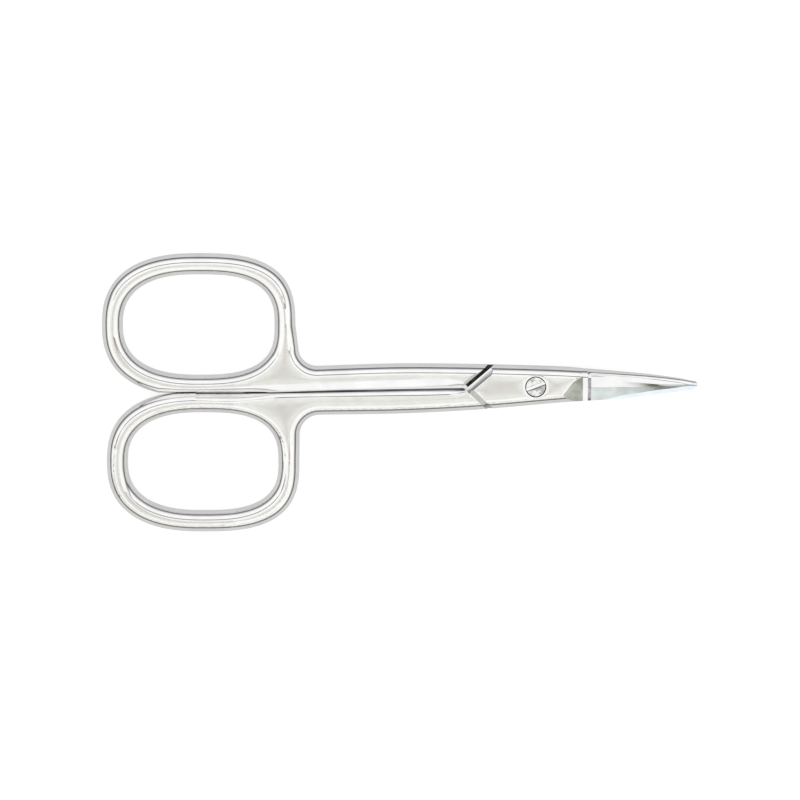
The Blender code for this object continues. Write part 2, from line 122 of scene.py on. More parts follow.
def smooth_level(stations: list[tuple[float, float]], along: float) -> float:
    """Reads a smooth curve through stations, level beyond its ends.

    Args:
        stations: pairs of place and height, in order of place.
        along: the place to read.

    Returns:
        The height of the curve there.
    """
    if along <= stations[0][0]:
        return stations[0][1]
    if along >= stations[-1][0]:
        return stations[-1][1]
    slopes = []
    for index in range(len(stations)):
        before = stations[max(index - 1, 0)]
        after = stations[min(index + 1, len(stations) - 1)]
        slopes.append((after[1] - before[1]) / (after[0] - before[0]))
    index = max(i for i in range(len(stations) - 1) if stations[i][0] <= along)
    (start, first), (end, last) = stations[index], stations[index + 1]
    span = end - start
    t = (along - start) / span
    return (
        first * (2 * t**3 - 3 * t**2 + 1)
        + slopes[index] * span * (t**3 - 2 * t**2 + t)
        + last * (3 * t**2 - 2 * t**3)
        + slopes[index + 1] * span * (t**3 - t**2)
    )


def slanted(slant: float) -> Vector:
    """Gives the direction of a line in the plan.

    Args:
        slant: its angle to +X.

    Returns:
        The unit direction.
    """
    return Vector((math.cos(slant), math.sin(slant), 0))


@dataclass(frozen=True)
class EdgeProfile:
    """How an edge turns from its wall to the flat: a curve, then the small step at the satin's border."""

    handle_shares: Shares
    border_shares: Shares
    eased_share: float = 0.975
    curve_points: int = 13

    def section(self, step: float = 1) -> list[tuple[float, float]]:
        """Gives the edge from the wall to the flat.

        Args:
            step: how much of the border step is left, 0 where it is eased away.

        Returns:
            Shares of the edge: how far out, and how far up.
        """
        section = []
        for t in spread(0, 1, self.curve_points):
            weights = ((1 - t) ** 3, 3 * t * (1 - t) ** 2, 3 * t * t * (1 - t), t**3)
            out = sum(weight * point[0] for weight, point in zip(weights, self.handle_shares))
            rise = sum(weight * point[1] for weight, point in zip(weights, self.handle_shares))
            section.append((out, rise))
        return [(out, self.eased(rise, step)) for out, rise in section + list(self.border_shares)]

    def eased(self, rise: float, step: float) -> float:
        """Lifts a point of the edge towards an edge without the border step.

        Args:
            rise: the point's share of the height.
            step: how much of the border step is left.

        Returns:
            The new share.
        """
        foot = self.handle_shares[-1][1]
        if rise < foot:
            smooth = rise * self.eased_share / foot
        else:
            smooth = self.eased_share + (rise - foot) * (1 - self.eased_share) / (1 - foot)
        return smooth + (rise - smooth) * step


OUTER_PROFILE = EdgeProfile(
    handle_shares=((1, 0), (0.93, 0.5), (0.45, 0.88), (0.247, 0.90)),
    border_shares=((0.172, 0.985), (0, 1)),
)
STEPPED_INNER_PROFILE = EdgeProfile(
    handle_shares=((1, 0), (0.8, 0.45), (0.5, 0.72), (0.22, 0.73)),
    border_shares=((0.08, 0.985), (0, 1)),
)
SMOOTH_INNER_PROFILE = EdgeProfile(
    handle_shares=((1, 0), (0.75, 0.5), (0.5, 0.86), (0.247, 0.94)),
    border_shares=((0.172, 0.96), (0, 1)),
)


@dataclass(frozen=True)
class Stock:
    """Sizes that both halves share."""

    thickness: float = 0.0029
    lap_gap: float = 0.00006
    tip_reach: float = 0.0244
    tip_setback: float = 0.00015
    lap_half_width: float = 0.0032
    cut_widths: int = 3
    tool_widths: int = 4
    rim_width: float = 0.00315
    edge_width: float = 0.0015
    edge_height: float = 0.00142
    edge_exit_shares: tuple[float, float] = (-0.06, 1.012)
    rest_edge_share: float = 0.38
    deep_grind_share: float = 0.25
    lead_overlap: float = 0.00006
    flat_slant: float = math.radians(12)
    satin_drop: float = 0.000002
    crest_drop: float = 0.000004
    satin_start: float = -0.046
    step_turn: float = 1.6
    crown: float = 0.00005
    crown_reach: float = 0.0013
    crown_grid: float = 0.0005
    hole_half_length: float = 0.01145
    hole_half_width: float = 0.00763
    far_power: float = 2.48
    near_power: float = 2.8
    heel_reach: float = 0.0447
    heel_level: float = -0.00107
    heel_gap: float = 0.00007
    apex_reach: float = 0.01071
    edge_slant: float = math.radians(40.6)
    overrun: float = 0.005
    weld: float = 0.0000005

    @property
    def lap_level(self) -> float:
        """The height of the mating face in the working position."""
        return (self.thickness + self.lap_gap) / 2


@dataclass(frozen=True)
class EdgeSizes:
    """The plate's two-faceted rim, the step with its undercut, and the groove behind the plate."""

    step_gap: float = 0.00059
    rim_width: float = 0.0006
    rim_slant: float = math.radians(43)
    rim_lead: float = 0.00015
    lip_width: float = 0.00023
    lip_slant: float = math.radians(20)
    step_width: float = 0.00042
    step_slant: float = math.radians(32)
    undercut_height: float = 0.0003
    undercut_shares: tuple[float, float, float, float] = (0.03, 1.4, 1.2, 0.06)
    groove_width: float = 0.00084
    groove_floor: float = 0.0001
    groove_depth: float = 0.00013
    groove_lead: float = 0.0012
    groove_reach_share: float = 2.2
    groove_stations: int = 40
    groove_offset: float = 0.0008
    groove_slant: float = math.radians(-44.4)


@dataclass(frozen=True)
class BladeSizes:
    """The scooped, ground and tapered blade."""

    start_share: float = 0.287
    plate_end_share: float = 0.8
    nose_radius: float = 0.0003
    nose_degrees: tuple[float, float] = (-60, 60)
    nose_points: int = 9
    tip_thickness: float = 0.00055
    cutting_edge_thickness: float = 0.00012
    scoop_start_share: float = 0.14
    scoop_end_share: float = 0.3
    scoop_first_depth_share: float = 0.05
    scoop_extra_depth: float = 0.00005
    # Ends of the painted shade bands across the ground face: the dark scoop, the polished band, the dark
    # band.
    band_start: float = 0.00715
    band_end: float = 0.0079
    line_end: float = 0.0084
    rim_width: float = 0.00032
    rim_slant: float = math.radians(3.5)
    rim_overlap: float = 0.00004
    hollow_share: float = 0.6
    hollow_depth: float = 0.00004
    taper_start_share: float = 0.265
    spine_round: float = 0.0008
    spine_height_share: float = 0.93
    spine_change_length: float = 0.0004
    spine_lead_shares: tuple[float, float] = (0.25, 0.04)
    spine_entry_share: float = 0.25
    stations: int = 44
    bend_start: float = 0.006
    bend_radius: float = 0.042
    bend_slices: int = 50
    ridge_shares: Shares = (
        (0.12, 0.03),
        (0.151, 0.136),
        (0.194, 0.384),
        (0.231, 0.586),
        (0.275, 0.718),
        (0.312, 0.745),
        (0.336, 0.745),
        (0.45, 0.72),
        (0.55, 0.61),
        (0.646, 0.545),
        (0.746, 0.44),
        (0.84, 0.4),
        (0.943, 0.36),
    )

    def lift_at(self, along: float, across: float) -> float:
        """Gives how far the curve lifts the blades, by the distance from the pivot axis.

        Args:
            along: the place along X.
            across: the place along Y.

        Returns:
            The lift.
        """
        out = max(math.hypot(along, across) - self.bend_start, 0)
        return self.bend_radius - math.sqrt(self.bend_radius**2 - out**2)


STOCK = Stock()
EDGES = EdgeSizes()
BLADE = BladeSizes()

# Outer edges from the neck of the ring to the tip: a share of the reach on that side of the pivot,
# then a share of the half width of the lap
UPPER_EDGE_SHARES: Shares = (
    (-1.0, 0.922),
    (-0.653, 1.037),
    (-0.374, 1.031),
    (-0.166, 0.988),
    (0.057, 0.931),
    (0.242, 0.866),
    (0.523, 0.723),
    (0.709, 0.629),
    (0.893, 0.499),
    (0.965, 0.415),
)
LOWER_EDGE_SHARES: Shares = (
    (-1.0, -1.384),
    (-0.653, -1.331),
    (-0.374, -1.206),
    (-0.166, -1.053),
    (0.15, -0.8),
    (0.336, -0.704),
    (0.523, -0.602),
    (0.709, -0.372),
    (0.893, -0.138),
    (0.95, -0.04),
)
# Cutting edges, which leave the outer edges where the blades begin
FRONT_CUTTING_SHARES: Shares = (
    (0.15, -0.8),
    (0.336, -0.695),
    (0.43, -0.64),
    (0.533, -0.43),
    (0.631, -0.303),
    (0.746, -0.125),
    (0.848, 0.006),
    (0.95, 0.169),
)
REAR_CUTTING_SHARES: Shares = (
    (0.15, 0.9),
    (0.336, 0.775),
    (0.43, 0.69),
    (0.533, 0.57),
    (0.631, 0.5),
    (0.746, 0.4),
    (0.848, 0.33),
    (0.95, 0.27),
)


@dataclass(frozen=True)
class Grain:
    """Marks that grinding or brushing leaves: spacing, how much longer than wide, direction and depth."""

    spacing: float
    stretch: float
    slant: float
    depth: float


@dataclass(frozen=True)
class SteelFinish:
    """One finish of the steel: colour, its cloudy shade, gloss and grain."""

    name: str
    colour: tuple[float, float, float]
    shade: tuple[float, float, float]
    cloud_size: float
    roughness: float
    roughness_spread: float
    grain: Grain
    cloud_range: tuple[float, float] = (0.36, 0.66)

    def material(self, groups: "ShaderGroups") -> bpy.types.Material:
        """Builds the finish as a material.

        Args:
            groups: the shared shader groups.

        Returns:
            The new material.
        """
        material = bpy.data.materials.new(self.name)
        material.use_nodes = True
        sheet = NodeSheet(material.node_tree)
        shader = material.node_tree.nodes["Principled BSDF"]
        shader.inputs["Metallic"].default_value = 1
        place = sheet.add("ShaderNodeTexCoord").outputs["Object"]
        clouds = sheet.add("ShaderNodeGroup", node_tree=groups.clouds)
        for name, value in self.cloud_values().items():
            clouds.inputs[name].default_value = value
        sheet.join(place, clouds.inputs["Place"])
        sheet.join(clouds.outputs["Colour"], shader.inputs["Base Color"])
        sheet.join(clouds.outputs["Roughness"], shader.inputs["Roughness"])
        grain = sheet.add("ShaderNodeGroup", node_tree=groups.grain)
        for name, value in self.grain_values().items():
            grain.inputs[name].default_value = value
        sheet.join(place, grain.inputs["Place"])
        bump = sheet.add("ShaderNodeBump", {"Strength": 1.0, "Distance": self.grain.depth})
        sheet.join(grain.outputs["Height"], bump.inputs["Height"])
        sheet.join(bump.outputs["Normal"], shader.inputs["Normal"])
        material.diffuse_color = (*self.colour, 1)
        return material

    def cloud_values(self) -> dict[str, object]:
        """Gives this finish's own values for the shared clouds."""
        return {
            "Size": self.cloud_size,
            "Colour": (*self.colour, 1),
            "Shade": (*self.shade, 1),
            "Roughness": self.roughness,
            "Spread": self.roughness_spread,
            "Clear Below": self.cloud_range[0],
            "Full Above": self.cloud_range[1],
        }

    def grain_values(self) -> dict[str, object]:
        """Gives this finish's own values for the shared grain."""
        return {
            "Spacing": self.grain.spacing,
            "Stretch": self.grain.stretch,
            "Slant": self.grain.slant,
        }


HALF_FINISHES: dict[Surface, SteelFinish] = {
    Surface.POLISHED: SteelFinish(
        name="polished_plate",
        colour=(0.90, 0.90, 0.89),
        shade=(0.84, 0.83, 0.83),
        cloud_size=0.004,
        roughness=0.08,
        roughness_spread=0.05,
        grain=Grain(spacing=0.0016, stretch=1.6, slant=0.3, depth=0.000006),
    ),
    Surface.SATIN: SteelFinish(
        name="satin_flat",
        colour=(0.86, 0.87, 0.83),
        shade=(0.76, 0.78, 0.73),
        cloud_size=0.0026,
        roughness=0.2,
        roughness_spread=0.06,
        grain=Grain(spacing=0.00013, stretch=6.0, slant=math.radians(38), depth=0.000003),
    ),
    Surface.GROUND: SteelFinish(
        name="ground_blade",
        colour=(0.68, 0.73, 0.71),
        shade=(0.58, 0.62, 0.60),
        cloud_size=0.0016,
        roughness=0.24,
        roughness_spread=0.1,
        grain=Grain(spacing=0.00014, stretch=7.0, slant=math.radians(76), depth=0.000004),
    ),
    # Painted shade: the scoop is coloured dark olive for the dark reflections of its curve.
    Surface.SCOOP: SteelFinish(
        name="scoop_painted_shade",
        colour=(0.5, 0.51, 0.46),
        shade=(0.29, 0.32, 0.26),
        cloud_size=0.002,
        roughness=0.3,
        roughness_spread=0.1,
        grain=Grain(spacing=0.00012, stretch=4.0, slant=math.radians(70), depth=0.000004),
    ),
    Surface.MATING: SteelFinish(
        name="mating_face",
        colour=(0.82, 0.88, 0.95),
        shade=(0.76, 0.82, 0.89),
        cloud_size=0.0015,
        roughness=0.2,
        roughness_spread=0.08,
        grain=Grain(spacing=0.0001, stretch=8.0, slant=math.radians(20), depth=0.000002),
    ),
    Surface.GROOVE: SteelFinish(
        name="filed_groove",
        colour=(0.53, 0.53, 0.51),
        shade=(0.46, 0.46, 0.43),
        cloud_size=0.0008,
        roughness=0.2,
        roughness_spread=0.08,
        grain=Grain(spacing=0.0001, stretch=5.0, slant=math.radians(-44), depth=0.000003),
    ),
    # Painted shade: near black in the undercut and the counterbore.
    Surface.RECESS: SteelFinish(
        name="recess_painted_shade",
        colour=(0.09, 0.085, 0.075),
        shade=(0.03, 0.03, 0.025),
        cloud_size=0.0006,
        roughness=0.45,
        roughness_spread=0.15,
        grain=Grain(spacing=0.0002, stretch=2.0, slant=0.0, depth=0.00001),
    ),
    # Painted shade: slate-dark walls, so that the gap between the halves and the slot read dark.
    Surface.WALL: SteelFinish(
        name="wall_painted_shade",
        colour=(0.25, 0.28, 0.33),
        shade=(0.14, 0.15, 0.18),
        cloud_size=0.003,
        roughness=0.35,
        roughness_spread=0.1,
        grain=Grain(spacing=0.0002, stretch=4.0, slant=0.0, depth=0.000006),
    ),
    # Painted shade: a dark band behind the polished band at the scoop's end.
    Surface.STOP: SteelFinish(
        name="band_painted_shade",
        colour=(0.5, 0.48, 0.5),
        shade=(0.16, 0.15, 0.16),
        cloud_size=0.0012,
        roughness=0.3,
        roughness_spread=0.1,
        grain=Grain(spacing=0.00012, stretch=3.0, slant=math.radians(80), depth=0.00001),
    ),
}
SCREW_FINISH = SteelFinish(
    name="turned_screw",
    colour=(0.82, 0.82, 0.8),
    shade=(0.34, 0.33, 0.32),
    cloud_size=0.0012,
    roughness=0.14,
    roughness_spread=0.1,
    grain=Grain(spacing=0.0005, stretch=2.0, slant=math.radians(21), depth=0.000006),
    cloud_range=(0.45, 0.62),
)


class NodeSheet:
    """Lays out shader nodes in one tree."""

    def __init__(self, tree: bpy.types.NodeTree) -> None:
        """Keeps the tree.

        Args:
            tree: the tree that the nodes go into.
        """
        self.tree = tree

    def add(self, kind: str, values: dict | None = None, **settings: object) -> bpy.types.Node:
        """Adds one node.

        Args:
            kind: the node's type.
            values: default values of its input sockets, by name or index.
            **settings: the node's own settings.

        Returns:
            The new node.
        """
        node = self.tree.nodes.new(kind)
        for name, value in settings.items():
            setattr(node, name, value)
        for socket, value in (values or {}).items():
            node.inputs[socket].default_value = value
        return node

    def join(self, source: bpy.types.NodeSocket, target: bpy.types.NodeSocket) -> None:
        """Links an output to an input.

        Args:
            source: the output.
            target: the input.
        """
        self.tree.links.new(source, target)


class ShaderGroups:
    """The two effects that every steel finish shares."""

    cloud_noise: dict[str, float] = {"Detail": 4.0, "Roughness": 0.6}
    grain_noise: dict[str, float] = {"Scale": 1.0, "Detail": 2.0, "Roughness": 0.55}

    def __init__(self) -> None:
        """Builds both groups once."""
        self.clouds = self.build_clouds()
        self.grain = self.build_grain()

    @staticmethod
    def open_group(name: str, inputs: dict[str, str], outputs: dict[str, str]) -> tuple:
        """Starts a group with named sockets.

        Args:
            name: the group's name.
            inputs: socket types by input name.
            outputs: socket types by output name.

        Returns:
            The sheet of the new tree, its input node and its output node.
        """
        tree = bpy.data.node_groups.new(name, "ShaderNodeTree")
        for direction, sockets in (("INPUT", inputs), ("OUTPUT", outputs)):
            for socket_name, kind in sockets.items():
                tree.interface.new_socket(name=socket_name, in_out=direction, socket_type=kind)
        sheet = NodeSheet(tree)
        return sheet, sheet.add("NodeGroupInput"), sheet.add("NodeGroupOutput")

    def build_clouds(self) -> bpy.types.NodeTree:
        """Builds soft clouds that shift colour and gloss over the surface.

        Returns:
            The group.
        """
        inputs = {
            "Place": "NodeSocketVector",
            "Size": "NodeSocketFloat",
            "Colour": "NodeSocketColor",
            "Shade": "NodeSocketColor",
            "Roughness": "NodeSocketFloat",
            "Spread": "NodeSocketFloat",
            "Clear Below": "NodeSocketFloat",
            "Full Above": "NodeSocketFloat",
        }
        outputs = {"Colour": "NodeSocketColor", "Roughness": "NodeSocketFloat"}
        sheet, start, end = self.open_group("steel_clouds", inputs, outputs)
        count = sheet.add("ShaderNodeMath", {0: 1.0}, operation="DIVIDE")
        sheet.join(start.outputs["Size"], count.inputs[1])
        noise = sheet.add("ShaderNodeTexNoise", self.cloud_noise)
        sheet.join(start.outputs["Place"], noise.inputs["Vector"])
        sheet.join(count.outputs[0], noise.inputs["Scale"])
        mask = sheet.add("ShaderNodeMapRange")
        sheet.join(noise.outputs["Fac"], mask.inputs["Value"])
        sheet.join(start.outputs["Clear Below"], mask.inputs["From Min"])
        sheet.join(start.outputs["Full Above"], mask.inputs["From Max"])
        tint = sheet.add("ShaderNodeMix", data_type="RGBA")
        sheet.join(mask.outputs["Result"], tint.inputs["Factor"])
        sheet.join(start.outputs["Colour"], tint.inputs["A"])
        sheet.join(start.outputs["Shade"], tint.inputs["B"])
        gloss = sheet.add("ShaderNodeMath", operation="MULTIPLY_ADD")
        sheet.join(mask.outputs["Result"], gloss.inputs[0])
        sheet.join(start.outputs["Spread"], gloss.inputs[1])
        sheet.join(start.outputs["Roughness"], gloss.inputs[2])
        sheet.join(tint.outputs["Result"], end.inputs["Colour"])
        sheet.join(gloss.outputs[0], end.inputs["Roughness"])
        return sheet.tree

    def build_grain(self) -> bpy.types.NodeTree:
        """Builds long fine marks in one direction.

        Returns:
            The group.
        """
        inputs = {
            "Place": "NodeSocketVector",
            "Spacing": "NodeSocketFloat",
            "Stretch": "NodeSocketFloat",
            "Slant": "NodeSocketFloat",
        }
        sheet, start, end = self.open_group("steel_grain", inputs, {"Height": "NodeSocketFloat"})
        turned = sheet.add("ShaderNodeVectorRotate", rotation_type="Z_AXIS", invert=True)
        sheet.join(start.outputs["Place"], turned.inputs["Vector"])
        sheet.join(start.outputs["Slant"], turned.inputs["Angle"])
        across = sheet.add("ShaderNodeMath", {0: 1.0}, operation="DIVIDE")
        sheet.join(start.outputs["Spacing"], across.inputs[1])
        along = sheet.add("ShaderNodeMath", operation="DIVIDE")
        sheet.join(across.outputs[0], along.inputs[0])
        sheet.join(start.outputs["Stretch"], along.inputs[1])
        counts = sheet.add("ShaderNodeCombineXYZ")
        sheet.join(along.outputs[0], counts.inputs["X"])
        sheet.join(across.outputs[0], counts.inputs["Y"])
        sheet.join(across.outputs[0], counts.inputs["Z"])
        scaled = sheet.add("ShaderNodeVectorMath", operation="MULTIPLY")
        sheet.join(turned.outputs[0], scaled.inputs[0])
        sheet.join(counts.outputs[0], scaled.inputs[1])
        noise = sheet.add("ShaderNodeTexNoise", self.grain_noise)
        sheet.join(scaled.outputs[0], noise.inputs["Vector"])
        sheet.join(noise.outputs["Fac"], end.inputs["Height"])
        return sheet.tree


class Bench:
    """Turns curves and cutters into meshes, and clears away the tools that it used."""

    def __init__(self) -> None:
        """Starts with no tools out."""
        self.tools: list[bpy.types.Object] = []

    def filled_curve(
        self, name: str, outlines: list[list[Vector]], thickness: float, rounded: bool = False
    ) -> bpy.types.Object:
        """Fills a flat outline, centred on the XY plane.

        Args:
            name: the curve's name.
            outlines: the outer outline, then its holes.
            thickness: the height of the solid.
            rounded: whether it gets the pair's rounded edge.

        Returns:
            The curve object.
        """
        curve = bpy.data.curves.new(name, "CURVE")
        curve.dimensions = "2D"
        curve.fill_mode = "BOTH"
        curve.extrude = thickness / 2
        if rounded:
            self.round_edge(curve)
        for outline in outlines:
            spline = curve.splines.new("POLY")
            spline.points.add(len(outline) - 1)
            for point, place in zip(spline.points, outline):
                point.co = (place.x, place.y, 0, 1)
            spline.use_cyclic_u = True
        return bpy.data.objects.new(name, curve)

    @staticmethod
    def round_edge(curve: bpy.types.Curve) -> None:
        """Gives a filled curve the pair's rounded edge, inside its outline.

        Args:
            curve: the filled curve.
        """
        stretch = STOCK.edge_width / STOCK.edge_height
        curve.extrude = curve.extrude * stretch - STOCK.edge_width
        curve.bevel_mode = "PROFILE"
        curve.bevel_depth = STOCK.edge_width
        curve.offset = -STOCK.edge_width
        curve.bevel_resolution = len(OUTER_PROFILE.section())
        for out_share, up_share in OUTER_PROFILE.section()[1:-1]:
            curve.bevel_profile.points.add(out_share, up_share)
        for point in curve.bevel_profile.points:
            point.handle_type_1 = "VECTOR"
            point.handle_type_2 = "VECTOR"
        curve.bevel_profile.update()

    def to_mesh(self, source: bpy.types.Object) -> bpy.types.Object:
        """Reads the evaluated shape of an object as a new mesh object with its caps welded.

        Args:
            source: the object to read, which is removed.

        Returns:
            The mesh object.
        """
        scene = bpy.context.scene.collection
        if source.name not in scene.objects:
            scene.objects.link(source)
        bpy.context.view_layer.update()
        graph = bpy.context.evaluated_depsgraph_get()
        mesh = bpy.data.meshes.new_from_object(source.evaluated_get(graph))
        work = bmesh.new()
        work.from_mesh(mesh)
        bmesh.ops.remove_doubles(work, verts=work.verts, dist=STOCK.weld)
        bmesh.ops.recalc_face_normals(work, faces=work.faces)
        work.to_mesh(mesh)
        work.free()
        name = source.name
        place = source.matrix_world.copy()
        bpy.data.objects.remove(source)
        result = bpy.data.objects.new(name, mesh)
        mesh.name = name
        result.matrix_world = place
        scene.objects.link(result)
        return result

    def take_out(self, tool: bpy.types.Object, material: bpy.types.Material) -> bpy.types.Object:
        """Lays a cutter out for use.

        Args:
            tool: the cutter.
            material: the finish that it leaves behind.

        Returns:
            The cutter.
        """
        scene = bpy.context.scene.collection
        if tool.name not in scene.objects:
            scene.objects.link(tool)
        tool.data.materials.clear()
        tool.data.materials.append(material)
        tool.hide_render = True
        tool.display_type = "WIRE"
        self.tools.append(tool)
        return tool

    def prism(
        self, name: str, outline: list[Vector], bottom: float, top: float, material: bpy.types.Material
    ) -> bpy.types.Object:
        """Makes a cutter with a flat outline between two levels.

        Args:
            name: the cutter's name.
            outline: its corners.
            bottom: its lower level.
            top: its upper level.
            material: the finish that it leaves behind.

        Returns:
            The cutter.
        """
        tool = self.to_mesh(self.filled_curve(name, [outline], top - bottom))
        tool.location.z = (bottom + top) / 2
        return self.take_out(tool, material)

    def slab(
        self,
        name: str,
        foot: Vector,
        normal: Vector,
        along: Vector,
        size: tuple[float, float, float],
        material: bpy.types.Material,
    ) -> bpy.types.Object:
        """Makes a cutter that removes what lies on the normal's side of a plane.

        Args:
            name: the cutter's name.
            foot: a point on the plane.
            normal: the plane's normal.
            along: the direction of the slab's length.
            size: its length, width and height.
            material: the finish that it leaves behind.

        Returns:
            The cutter.
        """
        normal = normal.normalized()
        along = along.normalized()
        mesh = bpy.data.meshes.new(name)
        work = bmesh.new()
        bmesh.ops.create_cube(work, size=1)
        turn = Matrix((along, normal.cross(along), normal)).transposed().to_4x4()
        middle = Matrix.Translation(foot + normal * size[2] / 2)
        bmesh.ops.transform(work, matrix=middle @ turn @ Matrix.Diagonal((*size, 1)), verts=work.verts)
        work.to_mesh(mesh)
        work.free()
        return self.take_out(bpy.data.objects.new(name, mesh), material)

    def cone(
        self,
        name: str,
        radii: tuple[float, float],
        bottom: float,
        top: float,
        material: bpy.types.Material,
    ) -> bpy.types.Object:
        """Makes a round cutter on the pivot axis.

        Args:
            name: the cutter's name.
            radii: its radius at the bottom and at the top.
            bottom: its lower level.
            top: its upper level.
            material: the finish that it leaves behind.

        Returns:
            The cutter.
        """
        mesh = bpy.data.meshes.new(name)
        work = bmesh.new()
        bmesh.ops.create_cone(
            work,
            cap_ends=True,
            segments=SCREW.turned_steps,
            radius1=radii[0],
            radius2=radii[1],
            depth=top - bottom,
        )
        work.to_mesh(mesh)
        work.free()
        tool = bpy.data.objects.new(name, mesh)
        tool.location.z = (bottom + top) / 2
        return self.take_out(tool, material)

    def loft(
        self, name: str, sections: list[list[Vector]], material: bpy.types.Material
    ) -> bpy.types.Object:
        """Makes a cutter through closed sections.

        Args:
            name: the cutter's name.
            sections: sections with like counts of points.
            material: the finish that it leaves behind.

        Returns:
            The cutter.
        """
        work = bmesh.new()
        rings = [[work.verts.new(point) for point in section] for section in sections]
        for before, after in zip(rings, rings[1:]):
            for index in range(len(before)):
                other = (index + 1) % len(before)
                work.faces.new((before[index], before[other], after[other], after[index]))
        work.faces.new(rings[0])
        work.faces.new(rings[-1])
        bmesh.ops.recalc_face_normals(work, faces=work.faces)
        bmesh.ops.triangulate(work, faces=work.faces)
        mesh = bpy.data.meshes.new(name)
        work.to_mesh(mesh)
        work.free()
        return self.take_out(bpy.data.objects.new(name, mesh), material)

    def extrusion(
        self,
        name: str,
        start: Vector,
        line: Vector,
        across: Vector,
        outline: list[tuple[float, float]],
        length: float,
        material: bpy.types.Material,
    ) -> bpy.types.Object:
        """Makes a cutter with one section along a straight line.

        Args:
            name: the cutter's name.
            start: where the line starts.
            line: its direction.
            across: the direction of the section's first number, square to the line.
            outline: the section, across and up.
            length: the cutter's length.
            material: the finish that it leaves behind.

        Returns:
            The cutter.
        """
        sections = []
        for reach in (0, length):
            foot = start + line * reach
            sections.append([foot + across * out + UP * level for out, level in outline])
        return self.loft(name, sections, material)

    @staticmethod
    def cut(target: bpy.types.Object, tool: bpy.types.Object, operation: str = "DIFFERENCE") -> None:
        """Takes a cutter out of the target, or joins it to the target.

        Args:
            target: the workpiece.
            tool: the cutter.
            operation: DIFFERENCE or UNION.
        """
        modifier = target.modifiers.new(tool.name, "BOOLEAN")
        modifier.operation = operation
        modifier.solver = "EXACT"
        modifier.material_mode = "TRANSFER"
        modifier.object = tool

    def clear(self) -> None:
        """Puts every cutter away."""
        for tool in self.tools:
            bpy.data.objects.remove(tool)
        self.tools.clear()


